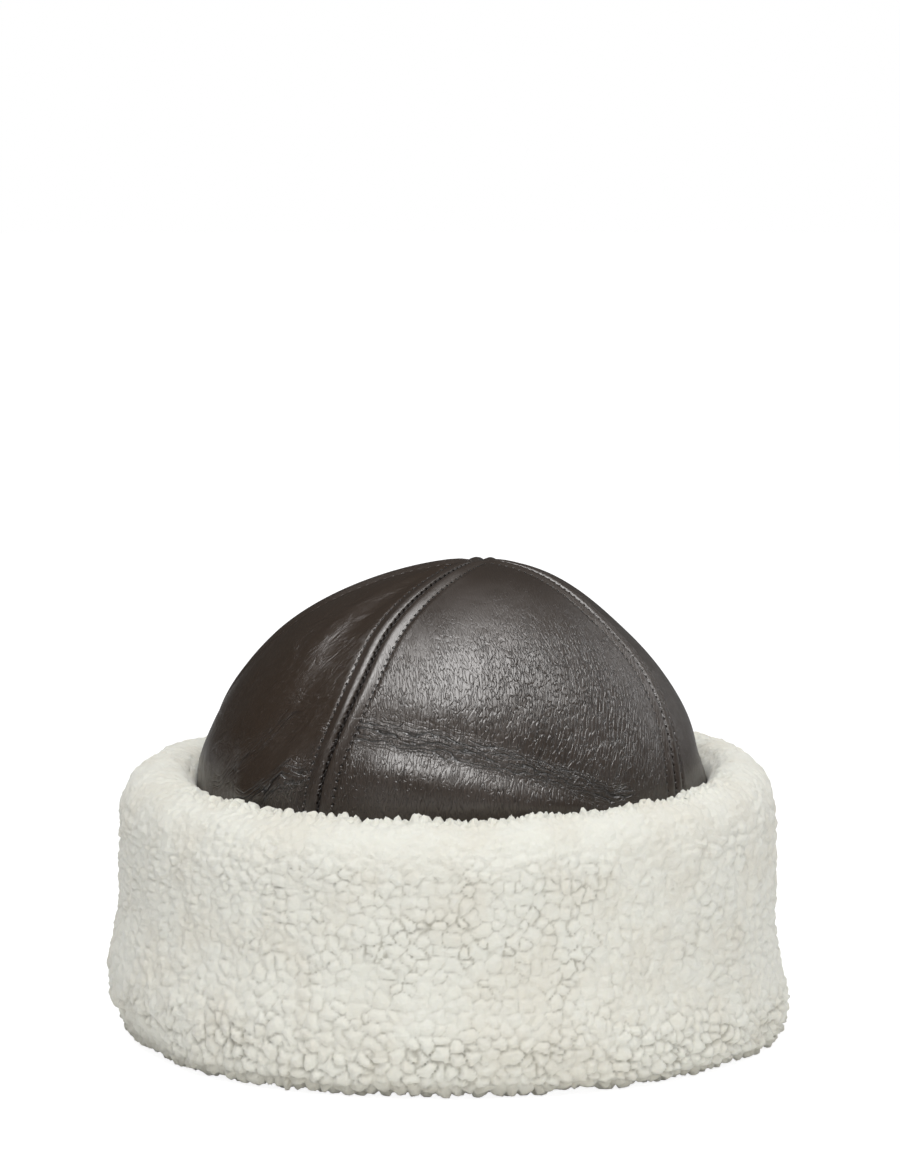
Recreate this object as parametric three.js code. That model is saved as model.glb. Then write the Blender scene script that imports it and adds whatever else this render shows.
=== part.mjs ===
// Shearling hat: a crown of four leather panels with their wool inside, and a turned-up cuff with
// its wool outside. Millimetres, +Z up, the front towards -Y. The origin is on the floor, under the
// middle of the cuff.

import * as THREE from "three";
import { mergeVertices } from "three/addons/utils/BufferGeometryUtils.js";

const DEGREE = Math.PI / 180;

// Crown: a straight wall up to the spring line, and a dome above it
const CROWN_RADIUS = 102.9;
const CROWN_AXIS_X = 1.9; // the cuff is thicker on the left, so the crown stands right of the middle
const SPRING_HEIGHT = 99.4;
const DOME_RISE = 91.5;
const DOME_RADIUS_POWER = 1.04; // 1 and 1 are an ellipse, more is a more pointed dome
const DOME_HEIGHT_POWER = 1.19;
const PEAK_LEAN = 10.5; // the peak leans to the right
const LEAN_START = 160;

// The two sides of the skin
const LEATHER = 1.5;
const CROWN_WOOL = 10;
const GAP = 0.3; // between pieces that touch
const WOOL_CLEARANCE = 0.5; // between the crown and the wool that lies against it

// Seams between the panels: angle at the cuff, and how far they turn to the right as they rise.
// Each panel lies between the seam of its own row and the next one
const SEAMS = [
  { side: "front", foot: -30.5, sweep: 5.5 },
  { side: "right", foot: 59, sweep: 10.5 },
  { side: "back", foot: 157, sweep: 9 },
  { side: "left", foot: 254, sweep: 18 },
];
const SWEEP_START = 103;
const SWEEP_END = 166;
const GROOVE_DEPTH = 1.2;
const SEAM_RELIEF = [
  { distance: 0, height: -GROOVE_DEPTH }, // groove with the seam itself
  { distance: 1.3, height: -0.2 },
  { distance: 3, height: 0.8 }, // rolled edge
  { distance: 6.3, height: -0.4 }, // channel under the topstitching
  { distance: 10, height: 0.5 },
  { distance: 18, height: 1 },
  { distance: 40, height: 0.6 },
];
const RELIEF_START = 101; // the cuff presses the seams flat below this height
const RELIEF_FULL = 110;
const PEAK_RADIUS = 8; // the seams flatten out where they cross

// Dents and folds in the leather: each runs straight between two places
const FOLDS = [
  { fromAzimuth: -19, fromHeight: 133, toAzimuth: 37, toHeight: 107, width: 10, depth: 1.8 },
  { fromAzimuth: -10, fromHeight: 116, toAzimuth: 30, toHeight: 98, width: 12, depth: -1.2 },
  { fromAzimuth: -88, fromHeight: 108, toAzimuth: -48, toHeight: 140, width: 12, depth: 1.6 },
  { fromAzimuth: 84, fromHeight: 112, toAzimuth: 128, toHeight: 136, width: 12, depth: 1.5 },
  { fromAzimuth: 170, fromHeight: 134, toAzimuth: 222, toHeight: 114, width: 12, depth: 1.7 },
];

const FOLDS_FADE_TO_SEAM = [3, 12]; // distances from a seam where the folds end and are whole

// Cuff: the fold stands on the floor, and the crown's lower edge is sewn to the skin inside it
const CROWN_EDGE_HEIGHT = 14;
const FOLD_RADIUS = 3.4; // middle of the skin, where it turns up
const FOLD_HEIGHT = 8.9;
const SKIN_TOP = 98;
const MOUTH_EDGE = 14; // top of the wool lip inside the mouth
const FLAT_INNER = 108; // the wool is pressed flat between these radii where the hat stands
const FLAT_OUTER = 130;
const CUFF_TOP = 109.6;
const CUFF_OUTSIDE = [
  { radius: FLAT_OUTER, height: 0 },
  { radius: 134.6, height: 2 },
  { radius: 137.2, height: 9.5 },
  { radius: 137.6, height: 22 },
  { radius: 135.4, height: 34 },
  { radius: 132.8, height: 50 },
  { radius: 132.6, height: 72 },
  { radius: 132.2, height: 92 },
  { radius: 127.6, height: 104.5 },
  { radius: 119, height: CUFF_TOP },
  { radius: 110.5, height: 109 },
  { radius: 105.2, height: 104.6 },
];
const MOUTH_ROUNDING = [
  { radius: 90, height: 12 },
  { radius: 90.8, height: 6.5 },
  { radius: 95, height: 2.2 },
  { radius: 101, height: 0.4 },
];
const TOP_DIP = 3.2; // the cuff's top is lower at the front and higher at the back
const TOP_ROLL = 1.3; // and higher on the right than on the left
const BULGE_TWIST = 0.28; // the bulge over the fold is higher on the left than on the right
const BULGE_TWIST_TOP = 90;

// Locks of wool on the cuff: crowns and creases take turns, and no two crowns are quite alike
const LOCK_COLUMNS = 96;
const LOCK_ROWS = 17;
const LOCK_CROWN = 0.7;
const LOCK_UNEVENNESS = 1.6;
const LOCK_CREASE = -0.9;
const LOT_STEPS = { column: 12.99, row: 78.23, spread: 43758.5 }; // any values that share no factor

// Grids
const SKIN_COLUMNS = LOCK_COLUMNS / 2;
const PANEL_ROWS = { wall: 2, dome: 9 };
const PANEL_COLUMN_DISTANCES = [0, 1.3, 3, 6.3, 10, 24, 43, 63];
const FLEECE_ROWS = { wall: 2, dome: 7 };
const FLEECE_COLUMNS = 6;
const FOLD_STEPS = 5;

const FINISHES = {
  leather: { color: 0x4a433d, roughness: 0.42, metalness: 0 },
  skin: { color: 0x5a5148, roughness: 0.7, metalness: 0 },
  wool: { color: 0xe2e0d4, roughness: 0.95, metalness: 0 },
};

// Straight-line value of a table with rows in rising order of the key column
function lookUp(table, key, value, at) {
  const next = table.findIndex((row) => row[key] >= at);
  if (next < 0) return table[table.length - 1][value];
  if (next === 0) return table[0][value];
  const share = (at - table[next - 1][key]) / (table[next][key] - table[next - 1][key]);
  return THREE.MathUtils.lerp(table[next - 1][value], table[next][value], share);
}

// Radius and height of the crown's outside, at an angle from the peak
function domePoint(angle) {
  return new THREE.Vector2(
    CROWN_RADIUS * Math.max(Math.sin(angle), 0) ** DOME_RADIUS_POWER,
    SPRING_HEIGHT + DOME_RISE * Math.max(Math.cos(angle), 0) ** DOME_HEIGHT_POWER,
  );
}

// Section of the crown's outside: share 0 is the lower edge, 1 is the peak
function crownSection(share, rows, lowerEdge) {
  const row = share * (rows.wall + rows.dome);
  if (row < rows.wall) {
    const height = THREE.MathUtils.lerp(lowerEdge, SPRING_HEIGHT, row / rows.wall);
    return { outside: new THREE.Vector2(CROWN_RADIUS, height), outwards: new THREE.Vector2(1, 0) };
  }
  const angle = (1 - (row - rows.wall) / rows.dome) * 90 * DEGREE;
  const step = 0.01;
  const along = domePoint(angle - step).sub(domePoint(Math.min(angle + step, 90 * DEGREE)));
  const outwards = angle < step ? new THREE.Vector2(0, 1) : new THREE.Vector2(along.y, -along.x).normalize();
  return { outside: domePoint(angle), outwards };
}

// Middle and half width of a panel in degrees, at a height
function panelReach(number, height) {
  const risen = THREE.MathUtils.smoothstep(height, SWEEP_START, SWEEP_END);
  const [start, end] = [number, number + 1].map((seam) => {
    const { foot, sweep } = SEAMS[seam % SEAMS.length];
    return foot + sweep * risen + 360 * Math.floor(seam / SEAMS.length);
  });
  return { middle: (start + end) / 2, half: (end - start) / 2 };
}

// How far the folds push the leather in at a place on the crown
function foldDepth(azimuth, height, radius) {
  let depth = 0;
  for (const fold of FOLDS) {
    const turn = (angle) => THREE.MathUtils.euclideanModulo(angle - fold.fromAzimuth + 180, 360) - 180;
    const run = new THREE.Vector2(turn(fold.toAzimuth) * DEGREE * radius, fold.toHeight - fold.fromHeight);
    const place = new THREE.Vector2(turn(azimuth) * DEGREE * radius, height - fold.fromHeight);
    const share = THREE.MathUtils.clamp(place.dot(run) / run.lengthSq(), 0, 1);
    const away = place.addScaledVector(run, -share).length() / fold.width;
    depth += fold.depth * Math.exp(-away * away);
  }
  return depth;
}

// Places of the panel's columns in degrees from its middle, narrow at the seams
function panelColumns(radius, half) {
  const last = PANEL_COLUMN_DISTANCES.length;
  const fromSeam = PANEL_COLUMN_DISTANCES.map((distance, index) => {
    const even = (half * index) / last;
    return radius > 1 ? Math.min(distance / radius / DEGREE, even) : even;
  });
  return [...fromSeam.map((angle) => angle - half), 0, ...fromSeam.map((angle) => half - angle).reverse()];
}

// A closed wall between two surfaces: a box with a grid, each corner moved to its place
function shell(columns, rows, place) {
  const geometry = new THREE.BoxGeometry(1, 1, 1, columns, rows, 1);
  geometry.deleteAttribute("normal");
  geometry.deleteAttribute("uv");
  const position = geometry.getAttribute("position");
  for (let index = 0; index < position.count; index += 1) {
    const column = Math.round((position.getX(index) + 0.5) * columns);
    const row = Math.round((position.getY(index) + 0.5) * rows);
    const outside = position.getZ(index) > 0;
    const point = place(column, row, outside);
    position.setXYZ(index, point.x, point.y, point.z);
  }
  return closeUp(geometry);
}

// Corners at one place become one, and triangles with no area go
function closeUp(geometry) {
  const merged = mergeVertices(geometry, 1e-4);
  const corners = merged.getIndex().array;
  const kept = [];
  for (let index = 0; index < corners.length; index += 3) {
    const [a, b, c] = corners.slice(index, index + 3);
    if (a !== b && b !== c && c !== a) kept.push(a, b, c);
  }
  merged.setIndex(kept);
  merged.computeVertexNormals();
  return merged;
}

// A place at a depth below the crown's outside. Each panel stands a little away from the seams
function crownPlace(section, depth, azimuth, number) {
  const panelAzimuth = panelReach(number, 0).middle;
  const point = section.outside.clone().addScaledVector(section.outwards, -depth);
  const risen = Math.max(section.outside.y - LEAN_START, 0) / (SPRING_HEIGHT + DOME_RISE - LEAN_START);
  const shift = (GAP / 2) * Math.SQRT2;
  const right = point.x * Math.sin(azimuth * DEGREE) + shift * Math.sin(panelAzimuth * DEGREE);
  const front = point.x * Math.cos(azimuth * DEGREE) + shift * Math.cos(panelAzimuth * DEGREE);
  return new THREE.Vector3(CROWN_AXIS_X + PEAK_LEAN * risen ** 2 + right, -front, point.y);
}

// One leather panel, with its rolled seams and its dents
function crownPanel(number) {
  const columns = PANEL_COLUMN_DISTANCES.length * 2;
  const rows = PANEL_ROWS.wall + PANEL_ROWS.dome;
  return shell(columns, rows, (column, row, outside) => {
    const section = crownSection(row / rows, PANEL_ROWS, CROWN_EDGE_HEIGHT);
    const { x: radius, y: height } = section.outside;
    const { middle, half } = panelReach(number, height);
    const turn = panelColumns(radius, half)[column];
    const fromSeam = (half - Math.abs(turn)) * DEGREE * radius;
    const free = THREE.MathUtils.smoothstep(height, RELIEF_START, RELIEF_FULL)
      * THREE.MathUtils.smoothstep(radius, 0, PEAK_RADIUS);
    const relief = lookUp(SEAM_RELIEF, "distance", "height", fromSeam);
    const away = THREE.MathUtils.smoothstep(fromSeam, ...FOLDS_FADE_TO_SEAM);
    const raised = free * (relief - away * foldDepth(middle + turn, height, radius));
    return crownPlace(section, (outside ? 0 : LEATHER) - raised, middle + turn, number);
  });
}

// The wool behind one panel
function crownFleece(number) {
  const rows = FLEECE_ROWS.wall + FLEECE_ROWS.dome;
  const deepest = LEATHER + GROOVE_DEPTH + GAP;
  return shell(FLEECE_COLUMNS, rows, (column, row, outside) => {
    const section = crownSection(row / rows, FLEECE_ROWS, MOUTH_EDGE + GAP);
    const { middle, half } = panelReach(number, section.outside.y);
    const turn = ((2 * column) / FLEECE_COLUMNS - 1) * half;
    return crownPlace(section, deepest + (outside ? 0 : CROWN_WOOL), middle + turn, number);
  });
}

// Points of an arc of the fold, from the outside leg under the turn to the inside leg
function foldArc(radius) {
  const middle = CROWN_RADIUS - LEATHER / 2 + FOLD_RADIUS;
  return Array.from({ length: FOLD_STEPS + 1 }, (unused, step) => {
    const angle = -Math.PI * (step / FOLD_STEPS);
    return new THREE.Vector2(middle + radius * Math.cos(angle), FOLD_HEIGHT + radius * Math.sin(angle));
  });
}

// The cuff isn't even all round: heights follow the dip, the roll and the twist of the bulge
function cuffHeight(height, azimuth) {
  const tilt = (height / CUFF_TOP) ** 2 * (TOP_ROLL * Math.sin(azimuth) - TOP_DIP * Math.cos(azimuth));
  const twist = BULGE_TWIST * height * Math.max(1 - height / BULGE_TWIST_TOP, 0) * Math.sin(azimuth);
  return height + tilt - twist;
}

// A ring from a closed section, its points moved one by one
function ring(section, columns, move) {
  const geometry = new THREE.LatheGeometry([...section, section[0]], columns);
  geometry.deleteAttribute("normal");
  geometry.deleteAttribute("uv");
  const position = geometry.getAttribute("position");
  const rows = section.length;
  for (let index = 0; index < position.count; index += 1) {
    const column = Math.floor(index / (rows + 1)) % columns;
    const row = (index % (rows + 1)) % rows;
    const azimuth = (column / columns) * 2 * Math.PI;
    const { radius, height, axisX } = move(column, row, azimuth);
    position.setXYZ(index, axisX + radius * Math.sin(azimuth), -radius * Math.cos(azimuth), height);
  }
  return closeUp(geometry);
}

// The leather side of the cuff: inside leg, fold and outside leg
function cuffSkin() {
  const outer = foldArc(FOLD_RADIUS + LEATHER / 2);
  const inner = foldArc(FOLD_RADIUS - LEATHER / 2);
  const edge = CROWN_EDGE_HEIGHT - GAP;
  const section = [
    new THREE.Vector2(outer[0].x, SKIN_TOP),
    new THREE.Vector2(inner[0].x, SKIN_TOP),
    ...inner,
    new THREE.Vector2(inner.at(-1).x, edge),
    new THREE.Vector2(outer.at(-1).x, edge),
    ...outer.reverse(),
  ];
  return ring(section, SKIN_COLUMNS, (column, row, azimuth) => ({
    radius: section[row].x,
    height: section[row].y > FOLD_HEIGHT * 2 ? cuffHeight(section[row].y, azimuth) : section[row].y,
    axisX: CROWN_AXIS_X,
  }));
}

// The wool side of the cuff: its outside stands in locks, and its inside follows the skin
function cuffFleece() {
  const outside = new THREE.SplineCurve(CUFF_OUTSIDE.map((row) => new THREE.Vector2(row.radius, row.height)));
  const locks = outside.getSpacedPoints(LOCK_ROWS);
  const skinSide = foldArc(FOLD_RADIUS + LEATHER / 2 + GAP);
  const section = [
    ...locks,
    new THREE.Vector2(CROWN_RADIUS + WOOL_CLEARANCE, RELIEF_START),
    new THREE.Vector2(CROWN_RADIUS + WOOL_CLEARANCE, SKIN_TOP + GAP),
    new THREE.Vector2(skinSide[0].x, SKIN_TOP + GAP),
    ...skinSide,
    new THREE.Vector2(skinSide.at(-1).x, MOUTH_EDGE),
    ...MOUTH_ROUNDING.map((row) => new THREE.Vector2(row.radius, row.height)),
    new THREE.Vector2(FLAT_INNER, 0),
  ];
  return ring(section, LOCK_COLUMNS, (column, row, azimuth) => {
    const point = section[row];
    const amount = row > 0 && row < locks.length ? lockHeight(column, row) : 0;
    const next = section[Math.min(row + 1, section.length - 1)];
    const along = next.clone().sub(section[Math.max(row - 1, 0)]).normalize();
    const bent = row < locks.length + 3 ? cuffHeight(point.y, azimuth) : point.y;
    return {
      radius: point.x + amount * along.y,
      height: Math.max(bent - amount * along.x, 0),
      axisX: row < locks.length - 1 ? 0 : CROWN_AXIS_X,
    };
  });
}

// Height of a lock's crown, or depth of the crease beside it
function lockHeight(column, row) {
  const turn = column * LOT_STEPS.column + row * LOT_STEPS.row;
  const lot = Math.abs(Math.sin(turn) * LOT_STEPS.spread) % 1;
  return (column + row) % 2 ? LOCK_CROWN + LOCK_UNEVENNESS * lot : LOCK_CREASE;
}

// One named mesh with a material of its own
function piece(name, finish, geometry) {
  const mesh = new THREE.Mesh(geometry, new THREE.MeshStandardMaterial(FINISHES[finish]));
  mesh.name = name;
  return mesh;
}

const hat = new THREE.Group();
for (const [number, { side }] of SEAMS.entries()) {
  hat.add(piece(`crown_panel_${side}`, "leather", crownPanel(number)));
  hat.add(piece(`crown_fleece_${side}`, "wool", crownFleece(number)));
}
hat.add(piece("cuff_skin", "skin", cuffSkin()));
hat.add(piece("cuff_fleece", "wool", cuffFleece()));

// The locks aren't even, so the hat is moved a fraction of a millimetre to centre it on the origin
const reach = new THREE.Box3().setFromObject(hat);
const middle = reach.getCenter(new THREE.Vector3());
hat.position.set(-middle.x, -middle.y, -reach.min.z);

export default hat;
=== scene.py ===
"""Shearling hat: leather crown panels, their wool inside, and a deep turned-up cuff of wool.

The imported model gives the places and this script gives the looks. Metres, +Z up, the front
towards -Y. Sizes in the dataclasses are in millimetres and become metres where a mesh is made.
"""

import logging
import math
from collections.abc import Iterator
from contextlib import contextmanager
from dataclasses import dataclass
from enum import Enum

import bpy
import numpy as np
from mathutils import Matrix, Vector

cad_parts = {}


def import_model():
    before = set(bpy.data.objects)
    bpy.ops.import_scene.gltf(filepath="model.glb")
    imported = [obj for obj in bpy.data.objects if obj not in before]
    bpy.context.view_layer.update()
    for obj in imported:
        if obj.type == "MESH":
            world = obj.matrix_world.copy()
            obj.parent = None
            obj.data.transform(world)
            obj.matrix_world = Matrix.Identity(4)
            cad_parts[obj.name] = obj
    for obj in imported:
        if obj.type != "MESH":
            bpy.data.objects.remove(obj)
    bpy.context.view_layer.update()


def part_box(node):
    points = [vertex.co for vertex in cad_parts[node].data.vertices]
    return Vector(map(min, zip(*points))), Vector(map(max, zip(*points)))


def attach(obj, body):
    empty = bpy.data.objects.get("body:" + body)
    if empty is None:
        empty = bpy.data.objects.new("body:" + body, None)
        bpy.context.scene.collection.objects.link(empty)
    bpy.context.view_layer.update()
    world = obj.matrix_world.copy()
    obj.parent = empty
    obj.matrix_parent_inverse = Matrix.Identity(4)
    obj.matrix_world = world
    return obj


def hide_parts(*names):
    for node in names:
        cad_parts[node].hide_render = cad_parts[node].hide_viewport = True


MM = 0.001
LOG = logging.getLogger("shearling_hat")
Row = dict[str, float]
Numbers = tuple[float, ...]
Array = np.ndarray
Piece = bpy.types.Object
Mesh = bpy.types.Mesh
Material = bpy.types.Material
NodeTree = bpy.types.NodeTree
Socket = bpy.types.NodeSocket
HASH_PRIMES = (0x9E3779B185EBCA87, 0xC2B2AE3D27D4EB4F, 0x165667B19E3779F9)
HASH_MIX = 0xFF51AFD7ED558CCD
TWENTY_BITS = 0xFFFFF
TUFT_LEAST = 0.72
TUFT_SPREAD = 0.58
TUFT_STRAY = 0.8


class Side(Enum):
    """The crown's four panels, by the way they face."""

    FRONT = "front"
    RIGHT = "right"
    BACK = "back"
    LEFT = "left"


class Zone(Enum):
    """Stretches of the cuff's section, in the order that the outline runs."""

    MOUTH = 0
    OUTSIDE = 1
    HIDDEN = 2


def ease(value: Array, low: float, high: float) -> Array:
    """Smooth step from 0 at low to 1 at high."""
    share = np.clip((value - low) / (high - low), 0, 1)
    return share * share * (3 - 2 * share)


def swell(value: Array, centre: float, width: float) -> Array:
    """Bell of height 1 at the centre."""
    return np.exp(-(((value - centre) / width) ** 2))


def unit(rows: Array) -> Array:
    """The same directions with a length of 1, one a row."""
    return rows / np.linalg.norm(rows, axis=1)[:, None]


def lengths(path: Array) -> Array:
    """Length along a path from its start to each of its points."""
    return np.concatenate([[0], np.cumsum(np.linalg.norm(np.diff(path, axis=0), axis=1))])


def spline(rows: tuple[Row, ...], spacing: float) -> Array:
    """Curve through the places of a table, cut into even steps.

    Args:
        rows: Radius and height of each place that the curve runs through.
        spacing: Length of a step, in the table's unit.

    Returns:
        Places along the curve, both ends included.
    """
    points = np.array([[row["radius"], row["height"]] for row in rows])
    padded = np.vstack([2 * points[0] - points[1], points, 2 * points[-1] - points[-2]])
    fine = []
    for start in range(len(points) - 1):
        before, first, second, after = padded[start : start + 4]
        share = np.linspace(0, 1, 60, endpoint=start == len(points) - 2)[:, None]
        bend = 2 * before - 5 * first + 4 * second - after
        twist = 3 * first - before - 3 * second + after
        fine.append(0.5 * (2 * first + (second - before) * share + bend * share**2 + twist * share**3))
    path = np.vstack(fine)
    reach = lengths(path)
    marks = np.linspace(0, reach[-1], max(2, round(reach[-1] / spacing) + 1))
    return np.column_stack([np.interp(marks, reach, path[:, axis]) for axis in range(path.shape[1])])


def fetch(items: bpy.types.bpy_prop_collection, name: str, width: int = 1) -> Array:
    """Reads one property of many items.

    Args:
        items: Vertices, corners or faces of a mesh, or the values of an attribute.
        name: The property's name.
        width: How many numbers each item has.

    Returns:
        A number for each item, or a row of numbers for each.
    """
    numbers = np.empty(len(items) * width, np.int32 if name == "vertex_index" else np.float32)
    items.foreach_get(name, numbers)
    return numbers.reshape(-1, width) if width > 1 else numbers


def read_points(mesh: Mesh) -> Array:
    """Places of a mesh's vertices, one a row."""
    return fetch(mesh.vertices, "co", 3).astype(float)


def write_points(mesh: Mesh, places: Array) -> None:
    """Moves a mesh's vertices to new places."""
    mesh.vertices.foreach_set("co", places.astype(np.float32).ravel())
    mesh.update()


def write_values(mesh: Mesh, name: str, values: Array) -> None:
    """Keeps a number or a vector for each vertex as a named attribute.

    Args:
        mesh: The mesh.
        name: The attribute's name.
        values: A number for each vertex, or three numbers a row.
    """
    kind, field = ("FLOAT", "value") if values.ndim == 1 else ("FLOAT_VECTOR", "vector")
    layer = mesh.attributes.get(name) or mesh.attributes.new(name, kind, "POINT")
    layer.data.foreach_set(field, values.astype(np.float32).ravel())


def only(piece: Piece) -> Piece:
    """Selects one object and nothing else, and makes it the active one.

    Args:
        piece: The object.

    Returns:
        The same object.
    """
    bpy.ops.object.select_all(action="DESELECT")
    piece.select_set(True)
    bpy.context.view_layer.objects.active = piece
    return piece


@contextmanager
def editing(piece: Piece, action: str = "SELECT") -> Iterator[None]:
    """Edit mode on one piece.

    Args:
        piece: The mesh object.
        action: SELECT or DESELECT for all of it first, or an empty word to keep what is selected.

    Yields:
        Nothing, while the piece is in edit mode.
    """
    only(piece)
    bpy.ops.object.mode_set(mode="EDIT")
    if action:
        bpy.ops.mesh.select_all(action=action)
    yield
    bpy.ops.object.mode_set(mode="OBJECT")


def settle(piece: Piece, name: str, node: str, material: Material) -> None:
    """Names and dresses a finished piece, and puts it on the model.

    Args:
        piece: The mesh object, with its place in its mesh.
        name: The piece's name.
        node: The solid that it stands for.
        material: What it is made of.
    """
    piece.name = name
    piece.data.name = name
    piece.data.materials.clear()
    piece.data.materials.append(material)
    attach(piece, "root")
    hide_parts(node)
    triangles = sum(len(face.vertices) - 2 for face in piece.data.polygons)
    LOG.info("%s: %d triangles", name, triangles)


def lots(whole: Array, seed: int) -> Array:
    """Three lots from 0 to 1 for each whole-numbered place, the same each time.

    Args:
        whole: Whole numbers, three a row.
        seed: Sets one field of lots apart from another.

    Returns:
        The lots, three a row.
    """
    parts = whole.astype(np.int64).astype(np.uint64) * np.array(HASH_PRIMES, np.uint64)
    key = np.bitwise_xor.reduce(parts, axis=1)
    key += np.uint64(seed * 7919 + 17)
    for shift in (33, 29, 32):
        key ^= key >> np.uint64(shift)
        key *= np.uint64(HASH_MIX)
    key ^= key >> np.uint64(31)
    bits = [(key >> np.uint64(shift)) & np.uint64(TWENTY_BITS) for shift in (0, 20, 40)]
    return np.column_stack(bits) / float(TWENTY_BITS)


@dataclass(frozen=True)
class Tufts:
    """What a field of tufts is like at each of some points, in the field's own unit."""

    edge: Array
    away: Array
    lot: Array


def tufts_at(points: Array, seed: int, turn: int = 0) -> Tufts:
    """The tuft round each point of a field of uneven tufts about one unit apart.

    Args:
        points: Places in the field, three numbers a row.
        seed: Sets one field apart from another.
        turn: How many tufts go once round, in a flat field that closes on itself, or 0 in space.

    Returns:
        How far each point is from the crease round its tuft, the way from the tuft's middle to the
        point, and the tuft's three lots.
    """
    base = np.floor(points)
    count = len(points)
    nearest, following = np.full(count, 9.0), np.full(count, 9.0)
    own, other = np.ones(count), np.ones(count)
    middle, lot = np.zeros((count, 3)), np.zeros((count, 3))
    for step in np.ndindex(3, 3, 1 if turn else 3):
        whole = base + (np.array(step) - (1, 1, 0 if turn else 1))
        named = whole.copy()
        if turn:
            named[:, 0] %= turn
        chance = lots(named, seed + 1)
        size = TUFT_LEAST + TUFT_SPREAD * chance[:, 1]
        stray = (1 - TUFT_STRAY) / 2 + TUFT_STRAY * lots(named, seed)
        centre = whole + stray * (1, 1, 0 if turn else 1)
        distance = np.linalg.norm(centre - points, axis=1) / size
        first = distance < nearest
        second = ~first & (distance < following)
        following = np.where(first, nearest, np.where(second, distance, following))
        other = np.where(first, own, np.where(second, size, other))
        nearest = np.where(first, distance, nearest)
        own = np.where(first, size, own)
        middle[first] = centre[first]
        lot[first] = chance[first]
    return Tufts((following - nearest) / (1 / own + 1 / other), points - middle, lot)


def drift(points: Array, seed: int) -> Array:
    """Smooth noise on a scale of one unit.

    Args:
        points: Places, three numbers a row.
        seed: Sets one field of noise apart from another.

    Returns:
        A number from about -1 to 1 for each place.
    """
    base = np.floor(points)
    share = points - base
    fade = share**3 * (share * (share * 6 - 15) + 10)
    total = np.zeros(len(points))
    for step in np.ndindex(2, 2, 2):
        corner = np.array(step)
        slope = lots(base + corner, seed) * 2 - 1
        weight = np.prod(np.where(corner == 1, fade, 1 - fade), axis=1)
        total += weight * ((share - corner) * slope).sum(1)
    return total * 1.9


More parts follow.
